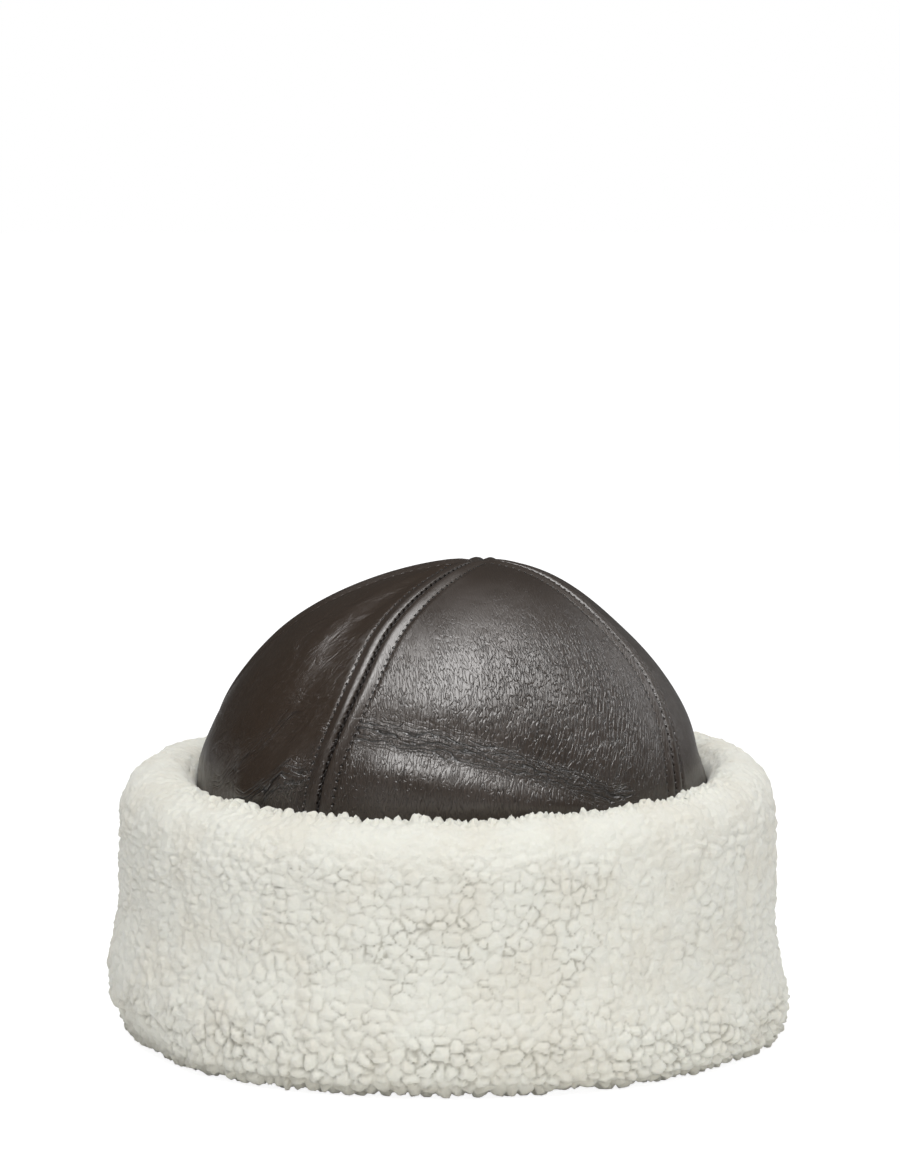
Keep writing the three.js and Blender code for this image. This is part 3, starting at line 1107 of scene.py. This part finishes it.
    def _separate(self, ring: Piece, start: float, end: float) -> Piece:
        """Takes the faces between two angles out of the ring as a piece of their own.

        Args:
            ring: The ring.
            start: The first angle, in degrees.
            end: The last angle.

        Returns:
            The new piece.
        """
        bpy.context.tool_settings.mesh_select_mode = (False, False, True)
        with editing(ring, "DESELECT"):
            pass
        centres = fetch(ring.data.polygons, "center", 3)
        azimuth = (np.degrees(np.arctan2(centres[:, 0], -centres[:, 1])) + 80) % 360 - 80
        ring.data.polygons.foreach_set("select", (azimuth > start) & (azimuth < end))
        with editing(ring, ""):
            bpy.ops.mesh.separate(type="SELECTED")
        (piece,) = [o for o in bpy.context.selected_objects if o != ring]
        return piece

    def _cap(self, piece: Piece, name: str) -> None:
        """Closes the two cut ends of a piece, shades its wool as one ring, and puts it on the model.

        Args:
            piece: The piece, with the ring's normals as an attribute.
            name: Where on the cuff it is.
        """
        before = len(piece.data.polygons)
        bpy.context.tool_settings.mesh_select_mode = (False, True, False)
        with editing(piece, "DESELECT"):
            bpy.ops.mesh.select_non_manifold()
            bpy.ops.mesh.fill_holes(sides=0)
        bpy.ops.object.shade_smooth()
        mesh = piece.data
        kept = fetch(mesh.attributes["ring_normal"].data, "vector", 3)
        normals = kept[fetch(mesh.loops, "vertex_index")]
        for face in list(mesh.polygons)[before:]:
            face.use_smooth = False
            for corner in face.loop_indices:
                normals[corner] = face.normal
        mesh.attributes.remove(mesh.attributes["ring_normal"])
        mesh.normals_split_custom_set(normals.tolist())
        settle(piece, f"cuff_wool_{name}", "cuff_fleece", self.material)


@dataclass
class CuffSkin:
    """The leather side of the cuff, folded under the crown's edge."""

    form: CuffForm
    material: Material
    columns: int = 180
    fold_steps: int = 10

    def build(self) -> None:
        """Makes the folded strip and puts it on the model."""
        half = self.form.leather / 2
        outer = self.form.arc(self.form.fold_radius + half, self.fold_steps)
        inner = self.form.arc(self.form.fold_radius - half, self.fold_steps)
        edge = self.form.lip - self.form.gap
        outline = np.vstack([
            [outer[0, 0], self.form.skin_top],
            [inner[0, 0], self.form.skin_top],
            inner,
            [inner[-1, 0], edge],
            [outer[-1, 0], edge],
            outer[::-1],
        ])
        ring, point, azimuth = rolled(outline, self.columns)
        radius, height = outline[point].T
        upper = height > 2 * self.form.fold_height
        height = np.where(upper, self.form.uneven(height, azimuth), height)
        write_points(ring.data, self.form.around(radius, height, azimuth))
        close_up(ring)
        bpy.ops.object.shade_smooth_by_angle(angle=math.radians(50))
        settle(ring, "cuff_skin_folded", "cuff_skin", self.material)


@dataclass
class CrownFleece:
    """The wool inside the crown, behind each panel."""

    form: CrownForm
    wool: WoolForm
    material: Material
    depth: float = 3
    thickness: float = 10
    tuft_height: float = 1.3
    # How strongly painted shade darkens the creases
    creased: float = 0.45
    columns: int = 76
    wall_rows: int = 42
    dome_rows: int = 66

    def build(self) -> None:
        """Makes the four pieces of wool and puts them on the model."""
        for number, side in enumerate(Side):
            self._piece(number, side)

    def _piece(self, number: int, side: Side) -> None:
        """Makes the wool behind one panel.

        Args:
            number: The number of the seam on its left.
            side: The way it faces.
        """
        piece, column, row, outside = slab(self.columns, self.wall_rows + self.dome_rows)
        edge = self.form.edge + self.form.gap
        radius, height, out = self.form.risen(row, self.wall_rows, self.dome_rows, edge)
        start, end = self.form.seam(number, height), self.form.seam(number + 1, height)
        azimuth = start + (end - start) * column / self.columns
        deepest = np.full(len(row), self.depth + self.thickness)
        plain = self.form.place(radius, height, out, deepest, azimuth, None) / MM
        laid = np.column_stack([np.radians(azimuth) * radius, 2 * row, np.zeros(len(row))])
        inside = ~outside
        raised, crease = np.zeros(len(row)), np.zeros(len(row))
        none = np.zeros(int(inside.sum()))
        tufts, deep = self.wool.relief(plain[inside], laid[inside], 0, none, none)
        raised[inside] = self.tuft_height * (tufts - 0.6) + 0.8 * self.wool.swells(plain[inside])
        # Painted shade in the creases, for the wool's colour
        crease[inside] = self.creased * deep
        sunk = self.depth + np.where(outside, 0, self.thickness + raised)
        facing = self.form.facing(number)
        write_points(piece.data, self.form.place(radius, height, out, sunk, azimuth, facing))
        write_values(piece.data, "crease", crease)
        close_up(piece)
        settle(piece, f"crown_wool_{side.value}", f"crown_fleece_{side.value}", self.material)


class Tree:
    """A node tree while it is built."""

    def __init__(self, tree: NodeTree) -> None:
        """Starts with an empty tree."""
        self.tree = tree
        tree.nodes.clear()

    def add(self, kind: str, values: dict | None = None, **settings: object) -> bpy.types.Node:
        """Adds a node.

        Args:
            kind: The node's type, without the ShaderNode before it.
            values: What goes into each input, by name or number: a value, or a socket to link.
            settings: Values of the node's own settings.

        Returns:
            The node.
        """
        name = kind if kind.startswith("NodeGroup") else "ShaderNode" + kind
        node = self.tree.nodes.new(name)
        for key, setting in settings.items():
            setattr(node, key, setting)
        for key, value in (values or {}).items():
            if isinstance(value, Socket):
                self.tree.links.new(value, node.inputs[key])
            else:
                node.inputs[key].default_value = value
        return node

    def math(self, operation: str, *values: object) -> Socket:
        """The result of one arithmetic step."""
        return self.add("Math", dict(enumerate(values)), operation=operation).outputs[0]

    def ramp(self, value: object, low: float, high: float, to_low: float = 0, to_high: float = 1) -> Socket:
        """A value carried from one range to another, held at both ends, with a smooth start and end.

        Args:
            value: The value or socket.
            low: Where the first range starts.
            high: Where the first range ends.
            to_low: Where the second range starts.
            to_high: Where the second range ends.

        Returns:
            The socket of the result.
        """
        node = self.add("MapRange", {"Value": value, "From Min": low, "From Max": high, "To Min": to_low,
                                     "To Max": to_high}, interpolation_type="SMOOTHSTEP")
        return node.outputs["Result"]

    def mix(self, share: object, first: object, second: object) -> Socket:
        """A colour between two colours."""
        return self.add("Mix", {0: share, 6: first, 7: second}, data_type="RGBA").outputs[2]

    def noise(self, place: object, scale: object, detail: float, plane: bool = False,
              **more: float) -> Socket:
        """A field of smooth noise.

        Args:
            place: Where it is read.
            scale: How fine it is.
            detail: How many finer layers it has.
            plane: True for places in a plane, False for places in space.
            more: Values of further inputs, by name.

        Returns:
            The socket of the noise, from 0 to 1.
        """
        values = {"Vector": place, "Scale": scale, "Detail": detail, **more}
        return self.add("TexNoise", values, noise_dimensions="2D" if plane else "3D").outputs["Fac"]

    def attribute(self, name: str, output: str = "Fac") -> Socket:
        """What the mesh keeps for each vertex: a number, or a vector with Vector as the output."""
        return self.add("Attribute", attribute_name=name).outputs[output]

    def bump(self, height: object, depth: float, under: object = None, strength: float = 1.0,
             invert: bool = False) -> Socket:
        """Normals of a surface that a height raises.

        Args:
            height: The height, from 0 to 1.
            depth: How far 1 raises it, in millimetres.
            under: The normals of the surface below, or None for the mesh's own.
            strength: How much of it shows.
            invert: True where the height sinks the surface.

        Returns:
            The socket of the normals.
        """
        values = {"Height": height, "Strength": strength, "Distance": depth * MM}
        if under is not None:
            values["Normal"] = under
        return self.add("Bump", values, invert=invert).outputs[0]

    def surface(self, values: dict) -> None:
        """Ends a material with the surface shader and its values."""
        shader = self.add("BsdfPrincipled", values)
        self.add("OutputMaterial", {"Surface": shader.outputs[0]})

    def close(self, **results: Socket) -> NodeTree:
        """Ends a group with its results, by the outputs' names."""
        self.add("NodeGroupOutput", results)
        return self.tree


def start_group(name: str, inputs: dict[str, float | None], outputs: tuple[str, ...]) -> tuple[Tree, dict]:
    """Starts a shader node group.

    Args:
        name: The group's name.
        inputs: Value of each input by name, or None for an input of places.
        outputs: Names of the outputs, which are all numbers.

    Returns:
        The tree, and its inputs' sockets by name.
    """
    tree = bpy.data.node_groups.new(name, "ShaderNodeTree")
    for label, value in inputs.items():
        kind = "NodeSocketVector" if value is None else "NodeSocketFloat"
        socket = tree.interface.new_socket(label, in_out="INPUT", socket_type=kind)
        if value is not None:
            socket.default_value = value
    for label in outputs:
        tree.interface.new_socket(label, in_out="OUTPUT", socket_type="NodeSocketFloat")
    built = Tree(tree)
    return built, {socket.name: socket for socket in built.add("NodeGroupInput").outputs}


def start_material(name: str) -> tuple[Material, Tree]:
    """Makes a material with an empty tree.

    Args:
        name: The material's name.

    Returns:
        The material and its tree.
    """
    made = bpy.data.materials.new(name)
    made.use_nodes = True
    return made, Tree(made.node_tree)


def bend_places(tree: Tree, place: Socket, scale: float, by: object, plane: bool) -> Socket:
    """Places moved a little by smooth noise.

    Args:
        tree: The tree that the nodes go into.
        place: The places to move.
        scale: How fine the noise is.
        by: How far it moves them.
        plane: True for places in a plane, False for places in space.

    Returns:
        The socket of the moved places.
    """
    found = tree.noise(place, scale, 2.0, plane).node.outputs["Color"]
    centred = tree.add("VectorMath", {0: found, 1: (0.5, 0.5, 0.5)}, operation="SUBTRACT")
    sized = tree.add("VectorMath", {0: centred.outputs[0], "Scale": by}, operation="SCALE")
    return tree.add("VectorMath", {0: place, 1: sized.outputs[0]}, operation="ADD").outputs[0]


def stretch_places(tree: Tree, place: Socket, across: object, up: object) -> tuple[Socket, Socket]:
    """Places stretched in two directions.

    Args:
        tree: The tree that the nodes go into.
        place: The places to stretch.
        across: What their first numbers are multiplied by.
        up: What their second numbers are multiplied by.

    Returns:
        The socket of the stretched places, and the socket of the second numbers as they were.
    """
    first, second, third = tree.add("SeparateXYZ", {0: place}).outputs
    stretched = {0: tree.math("MULTIPLY", first, across), 1: tree.math("MULTIPLY", second, up), 2: third}
    return tree.add("CombineXYZ", stretched).outputs[0], second


def leather_grain_group() -> NodeTree:
    """Grain of the leather: short wavy ridges that run one way, with finer ones between them.

    Returns:
        The group, which puts out the grain's height and the creases between its ridges.
    """
    inputs = {"Surface": None, "Across": 1000.0, "Up": 450.0, "Swirl": 0.5}
    tree, given = start_group("leather_grain", inputs, ("Height", "Creases"))
    place, _ = stretch_places(tree, given["Surface"], given["Across"], given["Up"])
    bent = bend_places(tree, place, 0.45, given["Swirl"], True)
    cell = tree.add("TexVoronoi", {"Vector": bent, "Scale": 1.0}, voronoi_dimensions="2D",
                    feature="DISTANCE_TO_EDGE")
    plump = tree.ramp(cell.outputs["Distance"], 0.0, 0.16)
    ridge = tree.math("ABSOLUTE", tree.math("SUBTRACT", tree.noise(bent, 1.25, 0.5, True), 0.5))
    furrow = tree.ramp(ridge, 0.0, 0.055)
    broken = tree.ramp(tree.noise(given["Surface"], 160.0, 1.0, True), 0.35, 0.6, 0.75, 1.0)
    lines = tree.math("ADD", tree.math("MULTIPLY", plump, 0.45), tree.math("MULTIPLY", furrow, 0.8))
    height = tree.math("MULTIPLY", lines, broken)
    return tree.close(Height=height, Creases=tree.math("SUBTRACT", 1.0, furrow))


# Two sets of creases: how far apart they are, how their waves are stretched, and how much they show
CREASES: tuple[Row, ...] = (
    {"pitch": 0.0023, "along": 60, "across": 150, "sway": 4.4, "share": 1},
    {"pitch": 0.0013, "along": 130, "across": 300, "sway": 3.6, "share": 0.7},
)


def leather_creases_group() -> NodeTree:
    """Long wavy creases that run along a fold and cross now and then.

    Returns:
        The group, which puts out the height between the creases and the creases themselves.
    """
    tree, given = start_group("leather_creases", {"Fold": None}, ("Height", "Lines"))
    total = 0.0
    for row in CREASES:
        place, across = stretch_places(tree, given["Fold"], row["along"], row["across"])
        swayed = tree.math("MULTIPLY", tree.noise(place, 1.0, 2.0, Roughness=0.55), row["sway"])
        phase = tree.math("ADD", tree.math("DIVIDE", across, row["pitch"]), swayed)
        away = tree.math("ABSOLUTE", tree.math("SUBTRACT", tree.math("FRACT", phase), 0.5))
        shown = tree.math("MULTIPLY", tree.ramp(tree.noise(place, 1.7, 1.0), 0.36, 0.46), row["share"])
        line = tree.math("MULTIPLY", tree.ramp(away, 0.0, 0.22, 1, 0), shown)
        total = tree.math("MAXIMUM", total, line)
    return tree.close(Height=tree.math("SUBTRACT", 1.0, total), Lines=total)


def stitch_holes_group() -> NodeTree:
    """Needle holes in rows beside a seam.

    Returns:
        The group, which puts out 1 in a hole and 0 elsewhere.
    """
    inputs = {"Up": 0.0, "Distance": 0.0, "Pitch": 0.0031, "Row": 0.0063}
    tree, given = start_group("stitch_holes", inputs, ("Holes",))
    turns = tree.math("DIVIDE", given["Up"], given["Pitch"])
    beat = tree.math("ABSOLUTE", tree.math("SUBTRACT", tree.math("FRACT", turns), 0.5))
    gap = tree.ramp(beat, 0.28, 0.42)
    middle = tree.ramp(given["Distance"], 0.0003, 0.0009, 1, 0)
    offset = tree.math("ABSOLUTE", tree.math("SUBTRACT", given["Distance"], given["Row"]))
    beside = tree.ramp(offset, 0.0002, 0.0007, 1, 0)
    return tree.close(Holes=tree.math("MULTIPLY", gap, tree.math("MAXIMUM", middle, beside)))


def wool_pile_group() -> NodeTree:
    """Fine pile of the wool: small curls and loose fibres.

    Returns:
        The group, which puts out the pile's height and the patches of its colour.
    """
    inputs = {"Place": None, "Curls": 900.0, "Fibres": 2600.0}
    tree, given = start_group("wool_pile", inputs, ("Height", "Patches"))
    bent = bend_places(tree, given["Place"], 500.0, 0.0016, False)
    curls = tree.add("TexVoronoi", {"Vector": bent, "Scale": given["Curls"]}, feature="SMOOTH_F1")
    hairs = tree.math("MULTIPLY", tree.noise(bent, given["Fibres"], 2.0, Roughness=0.7), 0.5)
    rounded = tree.math("MULTIPLY", tree.math("SUBTRACT", 1.0, curls.outputs["Distance"]), 0.7)
    patches = tree.noise(given["Place"], 42.0, 3.0, Roughness=0.6)
    return tree.close(Height=tree.math("ADD", rounded, hairs), Patches=patches)


@dataclass(frozen=True)
class LeatherFinish:
    """Semi-gloss dark brown leather with grain, creases and needle holes, and painted shade in the seam's
    groove, the holes, the creases, the grain's furrows and on the left panel where it turns from the light.
    Depths are in millimetres.
    """

    grain: NodeTree
    creases: NodeTree
    holes: NodeTree
    colour: Numbers = (0.035, 0.0235, 0.016, 1)
    worn: Numbers = (0.044, 0.0315, 0.0235, 1)
    # Painted shade: the left panel's colour where it turns from the light
    painted_shade_colour: Numbers = (0.034, 0.0208, 0.0122, 1)
    # Colour of the painted shade in the seam's groove, the needle holes, the creases and the grain's
    # furrows
    deep: Numbers = (0.007, 0.005, 0.004, 1)
    grain_across: float = 700
    grain_up: float = 175
    grain_swirl: float = 0.9
    slack_depth: float = 0.55
    grain_depth: float = 0.2
    crease_depth: float = 0.7
    hole_depth: float = 0.6

    def material(self) -> Material:
        """Makes the material.

        Returns:
            The material.
        """
        made, tree = start_material("leather")
        surface = tree.add("UVMap", uv_map="surface").outputs[0]
        seam, creased = tree.attribute("seam_distance"), tree.attribute("creased")
        grained, left_shade = tree.attribute("grained"), tree.attribute("left_shade")
        pattern = {"Surface": surface, "Across": self.grain_across, "Up": self.grain_up,
                   "Swirl": self.grain_swirl}
        grain = tree.add("Group", pattern, node_tree=self.grain).outputs
        fold = tree.attribute("fold", "Vector")
        creases = tree.add("Group", {"Fold": fold}, node_tree=self.creases).outputs
        climb = tree.add("SeparateXYZ", {0: surface}).outputs[1]
        holes = tree.add("Group", {"Up": climb, "Distance": seam}, node_tree=self.holes).outputs["Holes"]
        clouds = tree.noise(surface, 28.0, 3.0, True)
        toned = tree.mix(tree.ramp(clouds, 0.4, 0.65), self.colour, self.worn)
        # Painted shade: darker, warmer colour on the left panel where it turns from the light
        toned = tree.mix(left_shade, toned, self.painted_shade_colour)
        # Painted shade: the seam's groove, the needle holes, the fold creases and the grain's furrows
        # darken towards deep
        groove = tree.math("MULTIPLY", tree.ramp(seam, 0.0003, 0.0010, 1, 0), 0.7)
        folded = tree.math("MULTIPLY", creases["Lines"], tree.ramp(creased, 0.1, 0.4))
        lined = tree.math("MULTIPLY", grain["Creases"], tree.math("MINIMUM", grained, 1.2))
        dark = tree.math("MAXIMUM", groove, holes)
        dark = tree.math("MAXIMUM", dark, tree.math("MULTIPLY", folded, 0.95))
        dark = tree.math("MAXIMUM", dark, tree.math("MULTIPLY", lined, 0.55))
        rough = tree.ramp(clouds, 0.35, 0.65, 0.35, 0.39)
        drawn = tree.add("Mapping", {"Vector": surface, "Scale": (115.0, 75.0, 1.0)}).outputs[0]
        slack = tree.noise(drawn, 1.0, 3.0, True, Distortion=0.6)
        loose = tree.bump(tree.math("MULTIPLY", slack, tree.math("ADD", 0.35, left_shade)), self.slack_depth)
        fine = tree.bump(tree.math("MULTIPLY", grain["Height"], grained), self.grain_depth, loose)
        bent = tree.bump(tree.math("MULTIPLY", creases["Height"], creased), self.crease_depth, fine)
        tree.surface({
            "Base Color": tree.mix(dark, toned, self.deep),
            "Roughness": tree.math("SUBTRACT", rough, tree.math("MULTIPLY", left_shade, 0.03)),
            "Normal": tree.bump(holes, self.hole_depth, bent, invert=True),
            "Specular IOR Level": 1.0,
        })
        return made


@dataclass(frozen=True)
class WoolFinish:
    """Ivory wool, with painted shade that darkens its creases and the cuff's foot by the floor."""

    name: str
    pile: NodeTree
    light: Numbers = (0.805, 0.8, 0.725, 1)
    warm: Numbers = (0.77, 0.75, 0.665, 1)
    # Colour of the painted shade in the creases and by the floor
    deep: Numbers = (0.42, 0.40, 0.335, 1)
    pile_depth: float = 0.35

    def material(self) -> Material:
        """Makes the material.

        Returns:
            The material.
        """
        made, tree = start_material(self.name)
        place = tree.add("TexCoord").outputs["Object"]
        pile = tree.add("Group", {"Place": place}, node_tree=self.pile).outputs
        toned = tree.mix(tree.ramp(pile["Patches"], 0.38, 0.68), self.light, self.warm)
        # Painted shade: the colour darkens towards deep in the creases and by the floor, as the crease
        # attribute says
        dark = tree.math("MULTIPLY", tree.ramp(tree.attribute("crease"), 0.1, 0.9), 0.8)
        tree.surface({
            "Base Color": tree.mix(dark, toned, self.deep),
            "Roughness": 0.95,
            "Normal": tree.bump(pile["Height"], self.pile_depth, strength=0.8),
            "Specular IOR Level": 0.15,
            "Sheen Weight": 0.25,
            "Sheen Roughness": 0.6,
            "Subsurface Weight": 0.12,
            "Subsurface Radius": (0.0016, 0.0014, 0.0011),
            "Subsurface Scale": 1.0,
        })
        return made


@dataclass(frozen=True)
class PlainFinish:
    """One colour clouded with another, and a fine bump.

    Attributes:
        name: The material's name.
        colour: The colour.
        worn: The colour of the clouds.
        cloud: How fine the clouds are.
        detail: How many finer layers they have.
        roughness: How matt it is.
        depth: Depth of the bump, in millimetres.
        grain: Node group that the bump is made of, or None where the clouds make it.
    """

    name: str
    colour: Numbers
    worn: Numbers
    cloud: float
    detail: float
    roughness: float
    depth: float
    grain: NodeTree | None = None

    def material(self) -> Material:
        """Makes the material.

        Returns:
            The material.
        """
        made, tree = start_material(self.name)
        place = tree.add("TexCoord").outputs["Object"]
        clouds = tree.noise(place, self.cloud, self.detail)
        height = clouds
        if self.grain:
            pattern = {"Surface": place, "Across": 900.0, "Up": 900.0}
            height = tree.add("Group", pattern, node_tree=self.grain).outputs["Height"]
        tree.surface({
            "Base Color": tree.mix(tree.ramp(clouds, 0.35, 0.65), self.colour, self.worn),
            "Roughness": self.roughness,
            "Normal": tree.bump(height, self.depth, strength=0.8),
        })
        return made


@dataclass
class Stitching:
    """Rows of stitches along each seam: one in the groove and one in each channel."""

    form: CrownForm
    seam: SeamForm
    material: Material
    length: float = 2.3
    thickness: float = 0.55
    sides: int = 6
    groove_sunk: float = 0.85
    channel_sunk: float = 0.68
    clear_of_peak: float = 2.5

    def build(self) -> None:
        """Makes the stitches of each seam as one piece."""
        model = self._stitch()
        shape = read_points(model.data)
        for number, side in enumerate(Side):
            rows = self._row(number, 0.0, self.groove_sunk)
            for distance in (-self.seam.channel_at, self.seam.channel_at):
                rows += self._row(number, distance, self.channel_sunk)
            copies = [self._copy(model, centre + shape @ turn) for centre, turn in rows]
            thread = only(copies[0])
            for stitch in copies:
                stitch.select_set(True)
            bpy.ops.object.join()
            bpy.ops.object.shade_smooth()
            node = f"crown_panel_{side.value}"
            settle(thread, f"seam_thread_{side.value}", node, self.material)
        bpy.data.objects.remove(model)

    def _stitch(self) -> Piece:
        """One stitch at the origin: a short rod with domed ends, bowed a little.

        Returns:
            The stitch.
        """
        bpy.ops.mesh.primitive_uv_sphere_add(segments=self.sides, ring_count=6, radius=1)
        model = only(bpy.context.object)
        points = read_points(model.data)
        rod = points[:, 2]
        bow = self.thickness * 0.3 * (1 - rod**2)
        write_points(model.data, MM * np.column_stack([
            points[:, 0] * self.thickness / 2,
            points[:, 1] * self.thickness / 2 + bow - self.thickness * 0.15,
            np.sign(rod) * np.abs(rod) ** 0.8 * self.length / 2,
        ]))
        return model

    def _copy(self, model: Piece, places: Array) -> Piece:
        """A copy of the stitch with a mesh of its own.

        Args:
            model: The stitch.
            places: Where the copy's points go.

        Returns:
            The copy.
        """
        stitch = model.copy()
        stitch.data = model.data.copy()
        write_points(stitch.data, places)
        bpy.context.scene.collection.objects.link(stitch)
        return stitch

    def _row(self, number: int, distance: float, sunk: float) -> list[tuple[Array, Array]]:
        """Lays out the stitches of a row beside a seam.

        Args:
            number: The seam.
            distance: How far beside the seam the row runs.
            sunk: How far under the plain form it lies.

        Returns:
            Place and turn of each stitch.
        """
        share = np.linspace(0, 0.985, 1200)
        radius, height, _ = self.form.section(share)
        climb = lengths(np.column_stack([radius, height]))
        start = climb[np.searchsorted(height, self.seam.pressed_below + 1)]
        end = climb[radius > abs(distance) + self.clear_of_peak][-1]
        marks = np.arange(start, end, self.seam.pitch)
        middle = np.interp(marks, climb, share)
        before, after = np.interp(marks - 0.4, climb, share), np.interp(marks + 0.4, climb, share)
        centre = self._spot(number, middle, distance, sunk)
        along = unit(self._spot(number, after, distance, sunk) - self._spot(number, before, distance, sunk))
        above = self._spot(number, middle, distance, sunk - 0.5) - centre
        above = unit(above - (above * along).sum(1)[:, None] * along)
        side = np.cross(above, along)
        return [(c, np.vstack([s, a, z])) for c, s, a, z in zip(centre, side, above, along)]

    def _spot(self, number: int, share: Array, distance: float, sunk: float) -> Array:
        """Places beside a seam.

        Args:
            number: The seam.
            share: 0 at the spring line and 1 at the peak.
            distance: How far beside the seam.
            sunk: How far under the plain form.

        Returns:
            The places, one a row.
        """
        radius, height, out = self.form.section(share)
        azimuth = self.form.seam(number, height) + np.degrees(distance / radius)
        return self.form.place(radius, height, out, np.full(len(share), sunk), azimuth, None)


@dataclass
class Studio:
    """A plain pale floor, soft light, and the camera at the photograph's angle."""

    distance: float = 1.7
    elevation: float = 9
    aim_height: float = 0.095
    pixels_per_metre: float = 2460
    frame_height: float = 1176
    hat_below_middle: float = 206.5
    hat_left_of_middle: float = 2.8
    sensor: float = 36

    def build(self) -> None:
        """Makes the camera, the lights, the world and the floor."""
        self._camera()
        self._floor()
        self._lights()
        self._world()

    def _camera(self) -> None:
        """Aims a long lens over the hat, so that the hat stands low in the frame."""
        focal = self.pixels_per_metre * self.distance
        tilt = math.radians(self.elevation)
        data = bpy.data.cameras.new("camera")
        data.sensor_width = self.sensor
        data.lens = focal / self.frame_height * self.sensor
        camera = bpy.data.objects.new("camera", data)
        bpy.context.scene.collection.objects.link(camera)
        reach = Vector((0, -math.cos(tilt), math.sin(tilt))) * self.distance
        camera.location = Vector((0, 0, self.aim_height)) + reach
        pitch = math.pi / 2 - tilt + math.atan(self.hat_below_middle / focal)
        camera.rotation_euler = (pitch, 0, -math.atan(self.hat_left_of_middle / focal))
        bpy.context.scene.camera = camera

    def _floor(self) -> None:
        """A wide white disc, which the camera sees as almost shadowless."""
        below = (0, 0, -0.0004)
        bpy.ops.mesh.primitive_circle_add(vertices=96, radius=14, fill_type="NGON", location=below)
        floor = bpy.context.object
        floor.name = "floor"
        made, tree = start_material("floor")
        shader = tree.add("BsdfPrincipled", {"Base Color": (0.9, 0.9, 0.9, 1), "Roughness": 0.9,
                                             "Specular IOR Level": 0.1})
        paper = tree.add("Emission", {"Color": (1, 1, 1, 1), "Strength": 1.5})
        ray = tree.add("LightPath")
        share = tree.math("MULTIPLY", ray.outputs["Is Camera Ray"], 0.6)
        both = tree.add("MixShader", {0: share, 1: shader.outputs[0], 2: paper.outputs[0]})
        tree.add("OutputMaterial", {"Surface": both.outputs[0]})
        floor.data.materials.append(made)

    def _lights(self) -> None:
        """Soft boxes: wide ones overhead, dim ones all round, and one that only shines on gloss."""
        self._panel("key", (-0.15, -0.45, 1.55), (1.3, 1.15), 14)
        self._panel("overhead", (0.2, 0.5, 1.7), (1.4, 1.2), 3, mirrored=False)
        self._panel("front", (0.45, -1.9, 0.4), (1.2, 0.9), 11, mirrored=False)
        self._panel("rear", (-0.7, 1.9, 0.5), (1.2, 0.9), 6, mirrored=False)
        self._panel("right", (1.3, 1.0, 0.8), (1.2, 1.0), 3)
        self._panel("glint", (0.17, -0.4, 1.6), (2.1, 0.6), 23.8, diffused=False)

    def _panel(self, name: str, place: Numbers, size: Numbers, power: float,
               mirrored: bool = True, diffused: bool = True) -> None:
        """Adds one rectangular soft light that faces the hat.

        Args:
            name: The light's name.
            place: Where it stands.
            size: Its width and height.
            power: Its power in watts.
            mirrored: Whether glossy surfaces mirror it.
            diffused: Whether matt surfaces are lit by it.
        """
        data = bpy.data.lights.new(name, "AREA")
        data.shape = "RECTANGLE"
        data.size, data.size_y = size
        data.energy = power
        lamp = bpy.data.objects.new(name, data)
        bpy.context.scene.collection.objects.link(lamp)
        lamp.location = place
        lamp.visible_glossy = mirrored
        lamp.visible_diffuse = diffused
        aim = Vector((0, 0, 0.1)) - Vector(place)
        lamp.rotation_euler = aim.to_track_quat("-Z", "Y").to_euler()

    def _world(self) -> None:
        """White behind the hat, and a dimmer fill round it."""
        world = bpy.data.worlds.new("studio")
        world.use_nodes = True
        bpy.context.scene.world = world
        tree = Tree(world.node_tree)
        ray = tree.add("LightPath")
        seen = tree.math("MULTIPLY", ray.outputs["Is Camera Ray"], 0.65)
        mirrored = tree.math("MULTIPLY", ray.outputs["Is Glossy Ray"], 0.3)
        strength = tree.math("SUBTRACT", tree.math("ADD", 0.35, seen), mirrored)
        sky = tree.add("Background", {"Color": (1, 1, 1, 1), "Strength": strength})
        tree.add("OutputWorld", {"Surface": sky.outputs[0]})
        bpy.context.scene.view_settings.view_transform = "Standard"


def main() -> None:
    """Builds the hat and its studio."""
    logging.basicConfig(level=logging.INFO, format="%(name)s: %(message)s", force=True)
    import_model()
    crown = CrownForm.from_frame()
    cuff = CuffForm.from_crown(crown)
    seam = SeamForm()
    wool = WoolForm()
    grain = leather_grain_group()
    pile = wool_pile_group()
    leather = LeatherFinish(grain, leather_creases_group(), stitch_holes_group()).material()
    thread = PlainFinish("thread", colour=(0.02, 0.016, 0.014, 1), worn=(0.04, 0.033, 0.028, 1),
                         cloud=2200, detail=2, roughness=0.5, depth=0.08)
    skin = PlainFinish("skin", colour=(0.075, 0.058, 0.046, 1), worn=(0.11, 0.088, 0.07, 1),
                       cloud=60, detail=3, roughness=0.7, depth=0.12, grain=grain)
    CrownPanels(crown, seam, leather).build()
    Stitching(crown, seam, thread.material()).build()
    CrownFleece(crown, wool, WoolFinish("inner_wool", pile).material()).build()
    CuffSkin(cuff, skin.material()).build()
    CuffFleece(cuff, wool, WoolFinish("cuff_wool", pile).material()).build()
    Studio().build()


if __name__ == "__main__":
    main()
